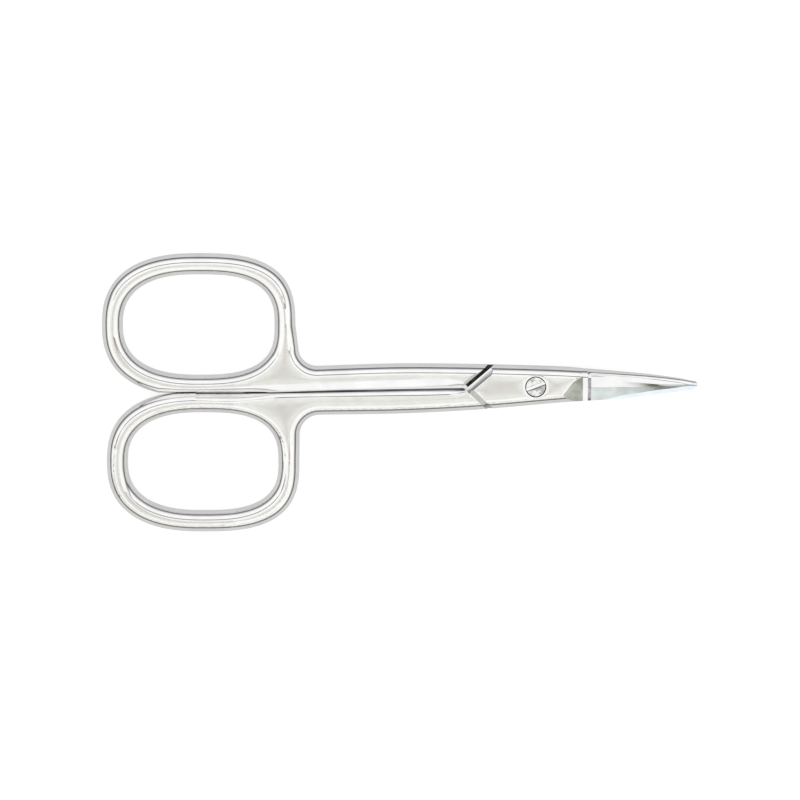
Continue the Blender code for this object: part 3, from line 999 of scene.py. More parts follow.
@dataclass(frozen=True)
class Forging:
    """One forged half, seen with its ring at -Y and its outer face up."""

    name: str
    node: str
    body: str
    side: int
    hole_length_share: float
    hole_width_share: float
    neck_reach: float
    neck_radius: float
    neck_lean: float
    heel_grind: float
    apex_level: float
    other_apex_level: float
    outer_shares: Shares
    spine_shares: Shares
    cutting_shares: Shares
    nose_share: float
    tip_reach: float
    inner_size: tuple[float, float]
    inner_profile: EdgeProfile
    ring_points: int = 150
    hole_points: int = 160
    neck_points: int = 30
    grind_stations: int = 8
    inner_stations: int = 60
    shank_stations: int = 70

    @property
    def hole_half_length(self) -> float:
        """The finger hole along the shank."""
        return self.hole_length_share * STOCK.hole_half_length

    @property
    def hole_half_width(self) -> float:
        """The finger hole across the shank."""
        return self.hole_width_share * STOCK.hole_half_width

    @property
    def ring_half_size(self) -> tuple[float, float]:
        """Half the ring's outer size, along and across the shank."""
        return self.hole_half_length + STOCK.rim_width, self.hole_half_width + STOCK.rim_width

    @property
    def heel_level(self) -> float:
        """The inner edge at the heel."""
        return self.side * STOCK.heel_level - STOCK.heel_gap / 2

    @property
    def ring_centre(self) -> Vector:
        """The ring's centre, which follows from the neck and from the heel."""
        across = self.heel_level + self.heel_grind - self.hole_half_width - STOCK.rim_width
        neck = self.neck_reach + self.neck_radius + self.neck_lean
        return Vector((-neck - self.hole_half_length - STOCK.rim_width, across))

    @property
    def apex(self) -> Vector:
        """The corner where the inner edge meets the slanted edge of the plate."""
        return Vector((-STOCK.apex_reach, self.apex_level, 0))

    @property
    def blade_start(self) -> float:
        """Where the plate ends and the blade begins."""
        return BLADE.start_share * STOCK.tip_reach

    @property
    def outer_edge_height(self) -> float:
        """The height of the edge at the outer face, which is tight where that face ends up below."""
        return STOCK.edge_height * (1 if self.side > 0 else STOCK.rest_edge_share)

    def tightened(self, level: float) -> float:
        """Moves a level of the evenly rounded edge to where the tighter edge of the underside has it.

        Args:
            level: the height on the bench.

        Returns:
            The height on the bench, nearer the face that ends up below.
        """
        drop = level if self.side > 0 else STOCK.thickness - level
        if drop < STOCK.edge_height:
            drop *= STOCK.rest_edge_share
        return drop if self.side > 0 else STOCK.thickness - drop

    def ease_edges(self, mesh: bpy.types.Mesh) -> None:
        """Keeps the border step only where the finished edge faces +Y, and tightens the underside.

        Args:
            mesh: the evenly rounded blank.
        """
        for vertex in mesh.vertices:
            across = vertex.normal.xy
            facing = self.side * across.y / max(across.length, STOCK.weld)
            shown = vertex.co.z if self.side > 0 else STOCK.thickness - vertex.co.z
            rise = (shown - STOCK.thickness) / STOCK.edge_height + 1
            if rise > 0:
                eased = OUTER_PROFILE.eased(rise, smooth_step(facing * STOCK.step_turn))
                shown = STOCK.thickness + (eased - 1) * STOCK.edge_height
            vertex.co.z = self.tightened(shown if self.side > 0 else STOCK.thickness - shown)

    def edge_level(self, shares: Shares, along: float) -> float:
        """Gives how far across an edge lies.

        Args:
            shares: the edge's stations.
            along: the place along X.

        Returns:
            The place along Y.
        """
        stations = []
        for reach_share, width_share in shares:
            reach = STOCK.tip_reach if reach_share > 0 else self.neck_reach
            stations.append((reach_share * reach, self.side * width_share * STOCK.lap_half_width))
        return smooth_level(stations, along)

    def inner_level(self, along: float) -> float:
        """Gives the inner edge of the shank, level behind the heel.

        Args:
            along: the place along X.

        Returns:
            The place along Y.
        """
        share = (along + STOCK.heel_reach) / (STOCK.heel_reach - STOCK.apex_reach)
        return self.heel_level + min(max(share, 0), 1) * (self.apex_level - self.heel_level)

    def superellipse(
        self, half_length: float, half_width: float, degrees: tuple[float, float], count: int
    ) -> list[Vector]:
        """Gives points of a superellipse round the ring's centre, squarer on the side of the shank.

        Args:
            half_length: its half size along X.
            half_width: its half size along Y.
            degrees: its first and last angle.
            count: how many points.

        Returns:
            The points.
        """
        points = []
        for angle in spread(math.radians(degrees[0]), math.radians(degrees[1]), count):
            cosine = math.cos(angle)
            sine = math.sin(angle)
            power = 2 / (STOCK.near_power if cosine > 0 else STOCK.far_power)
            along = math.copysign(abs(cosine) ** power, cosine) * half_length
            across = math.copysign(abs(sine) ** power, sine) * half_width
            points.append(self.ring_centre + Vector((along, across)))
        return points

    @staticmethod
    def arc(centre: Vector, radius: float, degrees: tuple[float, float], count: int) -> list[Vector]:
        """Gives points of a round arc.

        Args:
            centre: its centre.
            radius: its radius.
            degrees: its first and last angle.
            count: how many points.

        Returns:
            The points.
        """
        angles = spread(math.radians(degrees[0]), math.radians(degrees[1]), count)
        return [centre + Vector((math.cos(a), math.sin(a))) * radius for a in angles]

    def handle_outline(self) -> list[Vector]:
        """Gives ring, shank and plate, with spare stock inside of the inner edge.

        Returns:
            The outline.
        """
        half_length, half_width = self.ring_half_size
        points = self.superellipse(half_length, half_width, (90, 360), self.ring_points)
        neck_level = self.edge_level(self.outer_shares, -self.neck_reach)
        neck_centre = Vector((-self.neck_reach, neck_level - self.neck_radius))
        points += self.arc(neck_centre, self.neck_radius, (180, 90), self.neck_points)
        for along in spread(-self.neck_reach, self.blade_start, self.shank_stations)[1:]:
            points.append(Vector((along, self.edge_level(self.outer_shares, along))))
        plate_end = self.blade_start + 2 * STOCK.edge_width
        points.append(Vector((plate_end, points[-1].y * BLADE.plate_end_share)))
        back = []
        for along in spread(self.blade_start, -STOCK.apex_reach, self.shank_stations // 2):
            back.append(Vector((along, self.edge_level(self.spine_shares, along))))
        points.append(Vector((plate_end, back[0].y * BLADE.plate_end_share)))
        spare_level = max(self.apex_level, self.heel_level) + STOCK.edge_width + STOCK.rim_width / 2
        back.append(Vector((-STOCK.apex_reach - STOCK.lap_half_width, spare_level)))
        back.append(Vector((-STOCK.heel_reach, spare_level)))
        return points + back

    def blade_outline(self) -> list[Vector]:
        """Gives cutting edge, nose and spine of the blade.

        Returns:
            The outline.
        """
        nose_start = self.tip_reach - 2 * BLADE.nose_radius
        stations = spread(self.blade_start, nose_start, BLADE.stations)
        nose_level = self.side * self.nose_share * STOCK.lap_half_width
        nose_centre = Vector((self.tip_reach - BLADE.nose_radius, nose_level))
        points = [Vector((along, self.edge_level(self.cutting_shares, along))) for along in stations]
        points += self.arc(nose_centre, BLADE.nose_radius, BLADE.nose_degrees, BLADE.nose_points)
        for along in reversed(stations):
            points.append(Vector((along, self.edge_level(self.spine_shares, along))))
        return points

    def inner_edge_outline(self) -> list[Vector]:
        """Gives the cut along the inner edge and the slanted edge of the plate.

        Returns:
            The outline of the cutter.
        """
        corner = self.apex + slanted(STOCK.edge_slant) * STOCK.cut_widths * STOCK.lap_half_width
        far = self.ring_centre.x - self.hole_half_length - STOCK.rim_width - STOCK.overrun
        return [
            Vector((far, self.heel_level, 0)),
            Vector((-STOCK.heel_reach, self.heel_level, 0)),
            self.apex,
            corner,
            Vector((far, corner.y, 0)),
        ]

    @property
    def step_foot(self) -> Vector:
        """A point on the step that the other half's plate closes against."""
        across = slanted(-STOCK.edge_slant - math.pi / 2)
        return Vector((-STOCK.apex_reach, -self.other_apex_level, 0)) + across * EDGES.step_gap

    def lap_outline(self) -> list[Vector]:
        """Gives the cut that takes away the lower half of the stock.

        Returns:
            The outline of the cutter.
        """
        along = slanted(-STOCK.edge_slant)
        above = self.step_foot - along * STOCK.cut_widths * STOCK.lap_half_width
        below = self.step_foot + along * STOCK.cut_widths * STOCK.lap_half_width
        far = STOCK.tip_reach + STOCK.overrun
        return [above, below, Vector((far, below.y, 0)), Vector((far, above.y, 0))]

    def corner_section(
        self,
        along: float,
        level: float,
        size: tuple[float, float],
        shares: list[tuple[float, float]],
        top: float = STOCK.thickness,
    ) -> list[Vector]:
        """Gives a cutter's section that rounds the upper corner of a wall facing +Y.

        Args:
            along: the place along X.
            level: the wall's place along Y.
            size: how far the rounding reaches in from the wall, and down from the outer face.
            shares: the rounding's shares of that size, out and up.
            top: the level of the outer face.

        Returns:
            The closed section.
        """
        width, height = size
        shoulder = top - height
        lid = STOCK.thickness + STOCK.overrun
        shares = shares[1:-1]
        first_out, first_up = shares[0]
        entry = BLADE.spine_entry_share
        before = (1 + (1 - first_out) * entry, -first_up * entry)
        section = []
        for out_share, up_share in (before, *shares, STOCK.edge_exit_shares):
            section.append(Vector((along, level - width * (1 - out_share), shoulder + height * up_share)))
        section.append(Vector((along, section[-1].y, lid)))
        section.append(Vector((along, level + STOCK.overrun, lid)))
        section.append(Vector((along, level + STOCK.overrun, section[0].z)))
        return section

    def spine_sections(self) -> list[list[Vector]]:
        """Gives the rounding along the blade's spine, which narrows behind the scoop.

        Returns:
            The sections, in order.
        """
        lead, clear = (share * STOCK.edge_width for share in BLADE.spine_lead_shares)
        sections = []
        past_tip = STOCK.tip_reach + STOCK.overrun / 4
        stations = [self.blade_start - lead] + spread(self.blade_start, past_tip, BLADE.stations)
        for index, along in enumerate(stations):
            level = self.edge_level(self.spine_shares, along) + (0 if index else clear)
            change = smooth_step((along - BLADE.line_end) / BLADE.spine_change_length + 1)
            width = STOCK.edge_width + change * (BLADE.spine_round - STOCK.edge_width)
            top = self.blade_top(along)
            height = min(BLADE.spine_height_share * (top - STOCK.lap_level), self.outer_edge_height)
            shares = OUTER_PROFILE.section()
            sections.append(self.corner_section(along, level, (width, height), shares, top))
        return sections

    def blade_top(self, along: float) -> float:
        """Gives the level of the outer face, which falls from the taper's start to the tip.

        Args:
            along: the place along X.

        Returns:
            The level.
        """
        reach = along / STOCK.tip_reach
        thinned = max(reach - BLADE.taper_start_share, 0) / (1 - BLADE.taper_start_share)
        return STOCK.thickness - thinned * (STOCK.thickness - STOCK.lap_level - BLADE.tip_thickness)

    def lead_widths(self) -> list[tuple[float, float]]:
        """Gives the rounding's width where a deep grind runs out on the ring, behind the ring's centre.

        Returns:
            Pairs of place along X and width, none where the grind is shallow.
        """
        if self.heel_grind < STOCK.edge_width * STOCK.deep_grind_share:
            return []
        centre = self.ring_centre.x
        half_length, half_width = self.ring_half_size
        touched = 1 - (1 - self.heel_grind / half_width) ** STOCK.far_power
        first = centre - half_length * touched ** (1 / STOCK.far_power)
        widths = []
        for along in spread(first, centre, self.grind_stations)[:-1]:
            rest = 1 - ((centre - along) / half_length) ** STOCK.far_power
            depth = half_width * (rest ** (1 / STOCK.far_power) - 1) + self.heel_grind
            overlap = (1 - depth / self.heel_grind) * STOCK.lead_overlap
            widths.append((along, STOCK.edge_width - depth + overlap))
        return widths

    def inner_sections(self) -> list[list[Vector]]:
        """Gives the rounding along the inner edge, which is the ring's at the heel and flatter beyond.

        Returns:
            The sections, in order.
        """
        start = self.ring_centre.x
        lead = STOCK.rim_width / 3
        inner_width, inner_height = self.inner_size
        widths = self.lead_widths()
        places = []
        if widths:
            places += spread(widths[0][0] - lead, start - lead, self.grind_stations)[:-1]
        places += spread(start - lead, -STOCK.apex_reach - STOCK.lap_gap, self.inner_stations)
        widths += [
            (start, STOCK.edge_width - self.heel_grind),
            (-STOCK.heel_reach - STOCK.rim_width / 4, STOCK.edge_width - self.heel_grind / 2),
            (-STOCK.heel_reach + 2 * STOCK.rim_width, inner_width),
            (-STOCK.apex_reach - STOCK.rim_width, inner_width),
            (-STOCK.apex_reach, inner_width / 2),
        ]
        ring_section = OUTER_PROFILE.section(step=max(self.side, 0))
        inner_section = self.inner_profile.section()
        sections = []
        for along in places:
            width = smooth_level(widths, along)
            flatter = smooth_step((along + STOCK.heel_reach) / (2 * STOCK.rim_width))
            height = STOCK.edge_height + flatter * (inner_height - STOCK.edge_height)
            shares = []
            for ring, shank in zip(ring_section, inner_section):
                shares.append(tuple(a + flatter * (b - a) for a, b in zip(ring, shank)))
            level = self.inner_level(along)
            sections.append(self.corner_section(along, level, (width, height), shares))
        return sections

    def ground_levels(self, along: float) -> tuple[float, float]:
        """Gives where the ground face starts and ends across the blade.

        Args:
            along: the place along X.

        Returns:
            The places of the cutting edge and of the ridge along Y.
        """
        edge_shares = self.outer_shares if along < self.blade_start else self.cutting_shares
        cutting_level = self.edge_level(edge_shares, along)
        spine_level = self.edge_level(self.spine_shares, along)
        ridge_share = smooth_level(list(BLADE.ridge_shares), along / STOCK.tip_reach)
        return cutting_level, cutting_level + ridge_share * (spine_level - cutting_level)

    def scoop_rim_sections(self) -> list[list[Vector]]:
        """Gives the narrow polished rim round the scoop.

        Returns:
            The sections, in order.
        """
        lid = STOCK.thickness + STOCK.overrun
        slope = math.tan(BLADE.rim_slant)
        start = BLADE.scoop_start_share * STOCK.tip_reach
        sections = []
        for along in spread(start, BLADE.band_start, BLADE.stations // 2):
            ridge = self.ground_levels(along)[1]
            top = self.blade_top(along)
            inside = ridge - BLADE.rim_overlap
            outside = ridge + BLADE.rim_width + BLADE.rim_overlap
            section = [
                Vector((along, inside, top - (BLADE.rim_width + BLADE.rim_overlap) * slope)),
                Vector((along, outside, top + BLADE.rim_overlap * slope)),
                Vector((along, outside, lid)),
                Vector((along, inside, lid)),
            ]
            sections.append(section)
        return sections

    def grind_section(self, along: float) -> list[Vector]:
        """Gives the ground face at one station, from outside the cutting edge to past the ridge.

        Args:
            along: the place along X.

        Returns:
            The closed section.
        """
        cutting_level, ridge_level = self.ground_levels(along)
        reach = along / STOCK.tip_reach
        ridge_top = self.blade_top(along)
        scoop = (reach - BLADE.scoop_start_share) / (BLADE.scoop_end_share - BLADE.scoop_start_share)
        first = BLADE.scoop_first_depth_share
        depth = smooth_step(scoop) * (1 - first) + first
        drop = depth * (ridge_top - STOCK.lap_level - BLADE.cutting_edge_thickness)
        rise = drop / (ridge_level - cutting_level)
        ramp = (along - BLADE.band_start) / (BLADE.band_end - BLADE.band_start)
        sunk = BLADE.scoop_extra_depth * smooth_step(scoop) * (1 - min(max(ramp, 0), 1))
        lid = STOCK.thickness + STOCK.overrun
        outside = cutting_level - STOCK.overrun / 2
        past = ridge_level + (lid - ridge_top) / max(rise, 1)
        hollow_level = cutting_level + BLADE.hollow_share * (ridge_level - cutting_level)
        hollow_drop = (1 - BLADE.hollow_share) * drop + BLADE.hollow_depth * smooth_step(scoop)
        return [
            Vector((along, outside, ridge_top - drop - sunk)),
            Vector((along, cutting_level, ridge_top - drop - sunk)),
            Vector((along, hollow_level, ridge_top - hollow_drop - sunk)),
            Vector((along, ridge_level, ridge_top - sunk)),
            Vector((along, past, ridge_top - sunk + rise * (past - ridge_level))),
            Vector((along, past, lid + STOCK.overrun)),
            Vector((along, outside, lid + STOCK.overrun)),
        ]

    def grind_sections(self) -> list[list[Vector]]:
        """Gives the scoop and the ground face.

        Returns:
            The sections, in order.
        """
        past_tip = STOCK.tip_reach + STOCK.overrun / 4
        places = spread(BLADE.scoop_start_share * STOCK.tip_reach, BLADE.band_start, BLADE.stations // 2)
        places += spread(BLADE.band_end, BLADE.line_end, 3)
        places += spread(BLADE.line_end, past_tip, BLADE.stations)[1:]
        return [self.grind_section(along) for along in places]

    def edge_tools(self, bench: Bench, finishes: dict[Surface, bpy.types.Material]) -> list:
        """Makes the cutters of the plate's rim, the step, its undercut and the groove.

        Args:
            bench: the bench that holds them.
            finishes: the materials by surface.

        Returns:
            The cutters.
        """
        length = STOCK.tool_widths * STOCK.lap_half_width
        top = STOCK.thickness
        lid = top + STOCK.overrun
        lip_drop = EDGES.lip_width * math.tan(EDGES.lip_slant)
        rim_drop = EDGES.rim_width * math.tan(EDGES.rim_slant)
        rim_in = EDGES.lip_width + EDGES.rim_width
        lip_top = top - rim_drop
        lip_foot = lip_top - lip_drop
        rise = (lid - top) / math.tan(EDGES.rim_slant)
        rim = [
            (STOCK.overrun, lip_foot - STOCK.overrun * math.tan(EDGES.lip_slant)),
            (-EDGES.lip_width, lip_top),
            (-rim_in - rise, lid),
            (STOCK.overrun, lid),
        ]
        line = slanted(STOCK.edge_slant)
        out = slanted(STOCK.edge_slant + math.pi / 2)
        polished = finishes[Surface.POLISHED]
        start = self.apex + line * EDGES.rim_lead
        rim_tool = bench.extrusion(f"{self.name}_rim", start, line, out, rim, length, polished)

        step_line = slanted(-STOCK.edge_slant)
        towards = slanted(math.pi / 2 - STOCK.edge_slant)
        slope = math.tan(EDGES.step_slant)
        clear = EDGES.step_gap / 2
        step = [
            (clear, (EDGES.step_width + clear) * slope),
            (-EDGES.step_width - STOCK.overrun, -STOCK.overrun * slope),
            (clear, -STOCK.overrun * slope),
        ]
        step_foot = self.step_foot - step_line * length / 2
        step_tool = bench.extrusion(
            f"{self.name}_step", step_foot, step_line, towards, step, length, polished
        )
        mouth = STOCK.lap_level - EDGES.undercut_height / 2
        ceiling = STOCK.lap_level + EDGES.undercut_height
        levels = (mouth, mouth, ceiling, ceiling)
        undercut = [
            (share * EDGES.step_gap, level) for share, level in zip(EDGES.undercut_shares, levels)
        ]
        # Near black painted shade in the undercut.
        dark = finishes[Surface.RECESS]
        undercut_tool = bench.extrusion(
            f"{self.name}_undercut", step_foot, step_line, towards, undercut, length, dark
        )
        return [rim_tool, step_tool, undercut_tool, self.groove_tool(bench, finishes[Surface.GROOVE])]

    def groove_tool(self, bench: Bench, material: bpy.types.Material) -> bpy.types.Object:
        """Makes the cutter of the shallow groove, which follows the domed edge down at its outer end.

        Args:
            bench: the bench that holds it.
            material: the finish that it leaves behind.

        Returns:
            The cutter.
        """
        line = slanted(EDGES.groove_slant)
        side = line.cross(UP)
        start = self.apex + Vector((EDGES.groove_offset, 0, 0))
        foot = EDGES.groove_floor / 2
        lip = (EDGES.groove_width + EDGES.groove_floor) / 2
        above = EDGES.groove_depth * foot / (EDGES.groove_width / 2 - foot)
        below = -EDGES.groove_depth
        outline = ((lip, above), (foot, below), (-foot, below), (-lip, above))
        end = EDGES.groove_reach_share * STOCK.lap_half_width
        sections = []
        for reach in spread(-EDGES.groove_lead, end, EDGES.groove_stations):
            section = []
            for across, rise in outline:
                place = start + line * reach + side * across
                section.append(place + UP * (self.outer_surface(place) + rise))
            for corner in (section[-1], section[0]):
                section.append(Vector((corner.x, corner.y, STOCK.thickness + STOCK.overrun)))
            sections.append(section)
        return bench.loft(f"{self.name}_groove", sections, material)

    def outer_surface(self, place: Vector) -> float:
        """Gives the level of the outer face, which falls along the domed outer edge.

        Args:
            place: a place in the plan.

        Returns:
            The level there.
        """
        inwards = place.y - self.edge_level(self.outer_shares, place.x)
        out_share = min(max(1 - inwards / STOCK.edge_width, 0), 1)
        rises = sorted((-out, up) for out, up in OUTER_PROFILE.section(step=max(-self.side, 0)))
        return STOCK.thickness - (1 - smooth_level(rises, -out_share)) * self.outer_edge_height

    def blade_tools(self, bench: Bench, finishes: dict[Surface, bpy.types.Material]) -> list:
        """Makes the cutters of the taper, the spine, the scoop's rim and the ground face.

        Args:
            bench: the bench that holds them.
            finishes: the materials by surface.

        Returns:
            The cutters.
        """
        start = Vector((BLADE.taper_start_share * STOCK.tip_reach, 0, STOCK.thickness))
        end = Vector((STOCK.tip_reach, 0, STOCK.lap_level + BLADE.tip_thickness))
        along = end - start
        polished = finishes[Surface.POLISHED]
        taper = bench.slab(
            f"{self.name}_taper",
            (start + end) / 2,
            along.cross(Vector((0, 1, 0))),
            along,
            (along.length + STOCK.overrun, STOCK.tool_widths * STOCK.lap_half_width, STOCK.overrun),
            polished,
        )
        spine = bench.loft(f"{self.name}_spine", self.spine_sections(), polished)
        rim = bench.loft(f"{self.name}_scoop_rim", self.scoop_rim_sections(), polished)
        grind = bench.loft(f"{self.name}_grind", self.grind_sections(), finishes[Surface.GROUND])
        return [taper, spine, rim, grind]

    def inner_tools(self, bench: Bench, finishes: dict[Surface, bpy.types.Material]) -> list:
        """Makes the cutters that round the inner edge at both faces.

        Args:
            bench: the bench that holds them.
            finishes: the materials by surface.

        Returns:
            The cutters.
        """
        outer = self.inner_sections()
        rest = [[Vector((p.x, p.y, STOCK.thickness - p.z)) for p in section] for section in outer]
        for section in rest if self.side > 0 else outer:
            for point in section:
                point.z = self.tightened(point.z)
        tools = []
        for face, sections in ((Face.OUTER, outer), (Face.REST, rest)):
            name = f"{self.name}_inner_{face.name.lower()}"
            tools.append(bench.loft(name, sections, finishes[Surface.POLISHED]))
        return tools

    def worked_blank(self, bench: Bench, finishes: dict[Surface, bpy.types.Material]) -> bpy.types.Object:
        """Cuts the half out of its blank, still straight.

        Args:
            bench: the bench to work on.
            finishes: the materials by surface.

        Returns:
            The mesh object, ring at -Y and outer face up.
        """
        hole = self.superellipse(
            self.hole_half_length, self.hole_half_width, (0, 360), self.hole_points + 1
        )
        outlines = [self.handle_outline(), hole[:-1]]
        blank = bench.filled_curve(self.name, outlines, STOCK.thickness, rounded=True)
        body = bench.to_mesh(blank)
        squeeze = Matrix.Diagonal((1, 1, STOCK.edge_height / STOCK.edge_width, 1))
        body.data.transform(Matrix.Translation((0, 0, STOCK.thickness / 2)) @ squeeze)
        self.ease_edges(body.data)
        body.data.materials.clear()
        for surface in Surface:
            body.data.materials.append(finishes[surface])
        polished = finishes[Surface.POLISHED]
        high = STOCK.thickness + STOCK.overrun
        stub_top = high - STOCK.overrun / 2
        stub = bench.prism(f"{self.name}_blade", self.blade_outline(), 0, stub_top, polished)
        bench.cut(body, stub, "UNION")
        # The inner edge's walls get slate-dark painted shade.
        wall = finishes[Surface.WALL]
        edge = bench.prism(f"{self.name}_edge", self.inner_edge_outline(), -STOCK.overrun, high, wall)
        bench.cut(body, edge)
        for tool in self.inner_tools(bench, finishes):
            bench.cut(body, tool)
        mating = finishes[Surface.MATING]
        lap = bench.prism(f"{self.name}_lap", self.lap_outline(), -STOCK.overrun, STOCK.lap_level, mating)
        bench.cut(body, lap)
        tools = self.edge_tools(bench, finishes) + self.blade_tools(bench, finishes)
        bore = SCREW.shank_radius + SCREW.shank_clearance
        tools.append(bench.cone(f"{self.name}_bore", (bore, bore), -STOCK.overrun, high, polished))
        if self.side > 0:
            recess = SCREW.head_radius + SCREW.head_clearance
            floor = SCREW.seat_level - SCREW.seat_clearance
            # Near black painted shade in the counterbore round the head.
            dark = finishes[Surface.RECESS]
            tools.append(bench.cone(f"{self.name}_recess", (recess, recess), floor, high, dark))
            slope = math.tan(SCREW.halo_slant)
            halo = (recess - SCREW.halo_width, recess + SCREW.halo_width + STOCK.overrun / slope)
            foot = STOCK.thickness - 2 * SCREW.halo_width * slope
            tools.append(bench.cone(f"{self.name}_halo", halo, foot, high, polished))
        for tool in tools:
            bench.cut(body, tool)
        result = bench.to_mesh(body)
        bench.clear()
        result.data.transform(result.matrix_world)
        result.matrix_world = Matrix.Identity(4)
        return result

    def mark_surfaces(self, mesh: bpy.types.Mesh) -> None:
        """Gives the flats their satin, and paints the scoop and a band behind it darker as painted shade.

        Args:
            mesh: the straight half.
        """
        # Painted shade across the ground face: the dark scoop, then a polished band, then a dark band.
        bands = (
            (BLADE.band_start, Surface.SCOOP),
            (BLADE.band_end, Surface.POLISHED),
            (BLADE.line_end, Surface.STOP),
        )
        level_share = math.cos(STOCK.flat_slant)
        for polygon in mesh.polygons:
            surface = Surface(polygon.material_index)
            drop = STOCK.thickness / 2 - abs(polygon.center.z - STOCK.thickness / 2)
            limit = STOCK.satin_drop if polygon.center.x > STOCK.satin_start else STOCK.crest_drop
            if surface is Surface.POLISHED and abs(polygon.normal.z) > level_share and drop < limit:
                polygon.material_index = Surface.SATIN.value
            if surface is Surface.GROUND:
                for end, band in bands:
                    if polygon.center.x < end:
                        polygon.material_index = band.value
                        break
                else:
                    cutting_level, ridge_level = self.ground_levels(polygon.center.x)
                    upper = cutting_level + BLADE.hollow_share * (ridge_level - cutting_level)
                    if polygon.center.y > upper:
                        polygon.material_index = Surface.POLISHED.value

    @staticmethod
    def satin_flats(work: bmesh.types.BMesh) -> set[bmesh.types.BMFace]:
        """Finds the upper satin faces of shank and plate.

        Args:
            work: the half's mesh.

        Returns:
            The faces.
        """
        satin = (face for face in work.faces if face.material_index == Surface.SATIN.value)
        level = (face for face in satin if face.normal.z > 0)
        return {face for face in level if face.calc_center_median().x > STOCK.satin_start}

    def crown_satin(self, mesh: bpy.types.Mesh) -> None:
        """Crowns the satin flats of the upper face a little, as hand finishing leaves them.

        Args:
            mesh: the half in its place, still straight.
        """
        work = bmesh.new()
        work.from_mesh(mesh)
        corners = [vertex.co for face in self.satin_flats(work) for vertex in face.verts]
        for normal, axis in (((1, 0, 0), 0), ((0, 1, 0), 1)):
            low = min(corner[axis] for corner in corners)
            high = max(corner[axis] for corner in corners)
            for level in spread(low, high, round((high - low) / STOCK.crown_grid) + 1)[1:-1]:
                top = self.satin_flats(work)
                near = set(top)
                near.update(edge for face in top for edge in face.edges)
                near.update(vertex for face in top for vertex in face.verts)
                place = Vector(normal) * level
                bmesh.ops.bisect_plane(
                    work, geom=list(near), dist=STOCK.weld, plane_co=place, plane_no=normal
                )
        top = self.satin_flats(work)
        border = {
            vertex
            for face in top
            for edge in face.edges
            if any(other not in top for other in edge.link_faces)
            for vertex in edge.verts
        }
        tree = KDTree(len(border))
        for index, vertex in enumerate(border):
            tree.insert(vertex.co, index)
        tree.balance()
        for vertex in {vertex for face in top for vertex in face.verts} - border:
            distance = tree.find(vertex.co)[2]
            vertex.co.z += STOCK.crown * math.sin(min(distance / STOCK.crown_reach, 1) * math.pi / 2)
        work.to_mesh(mesh)
        work.free()

    def curve_blade(self, mesh: bpy.types.Mesh) -> None:
        """Curves the blade upwards, after slicing it finely enough to follow the curve.

        Args:
            mesh: the half in its place.
        """
        work = bmesh.new()
        work.from_mesh(mesh)
        for along in spread(BLADE.bend_start, STOCK.tip_reach, BLADE.bend_slices)[:-1]:
            geometry = work.verts[:] + work.edges[:] + work.faces[:]
            bmesh.ops.bisect_plane(
                work, geom=geometry, dist=STOCK.weld, plane_co=(along, 0, 0), plane_no=(1, 0, 0)
            )
        bmesh.ops.triangulate(work, faces=work.faces)
        for vertex in work.verts:
            if vertex.co.x > 0:
                vertex.co.z += BLADE.lift_at(vertex.co.x, vertex.co.y)
        work.to_mesh(mesh)
        work.free()

    def build(self, bench: Bench, finishes: dict[Surface, bpy.types.Material]) -> bpy.types.Object:
        """Builds the half, dresses it and lets it ride on its body.

        Args:
            bench: the bench to work on.
            finishes: the materials by surface.

        Returns:
            The finished piece.
        """
        piece = self.worked_blank(bench, finishes)
        self.mark_surfaces(piece.data)
        if self.side < 0:
            turn_over = Matrix.Translation((0, 0, STOCK.thickness)) @ Matrix.Rotation(math.pi, 4, "X")
            piece.data.transform(turn_over)
        self.crown_satin(piece.data)
        self.curve_blade(piece.data)
        shade(piece)
        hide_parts(self.node)
        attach(piece, self.body)
        LOG.info("%s: %d faces on body %s", piece.name, len(piece.data.polygons), self.body)
        return piece


def shade(piece: bpy.types.Object) -> None:
    """Shades a piece smooth, with its sharp edges kept and its flats true.

    Args:
        piece: the mesh object.
    """
    piece.data.shade_smooth()
    piece.data.set_sharp_from_angle(angle=SHARP_ANGLE)
    weighted = piece.modifiers.new("true_flats", "WEIGHTED_NORMAL")
    weighted.keep_sharp = True
    weighted.weight = FLAT_WEIGHT


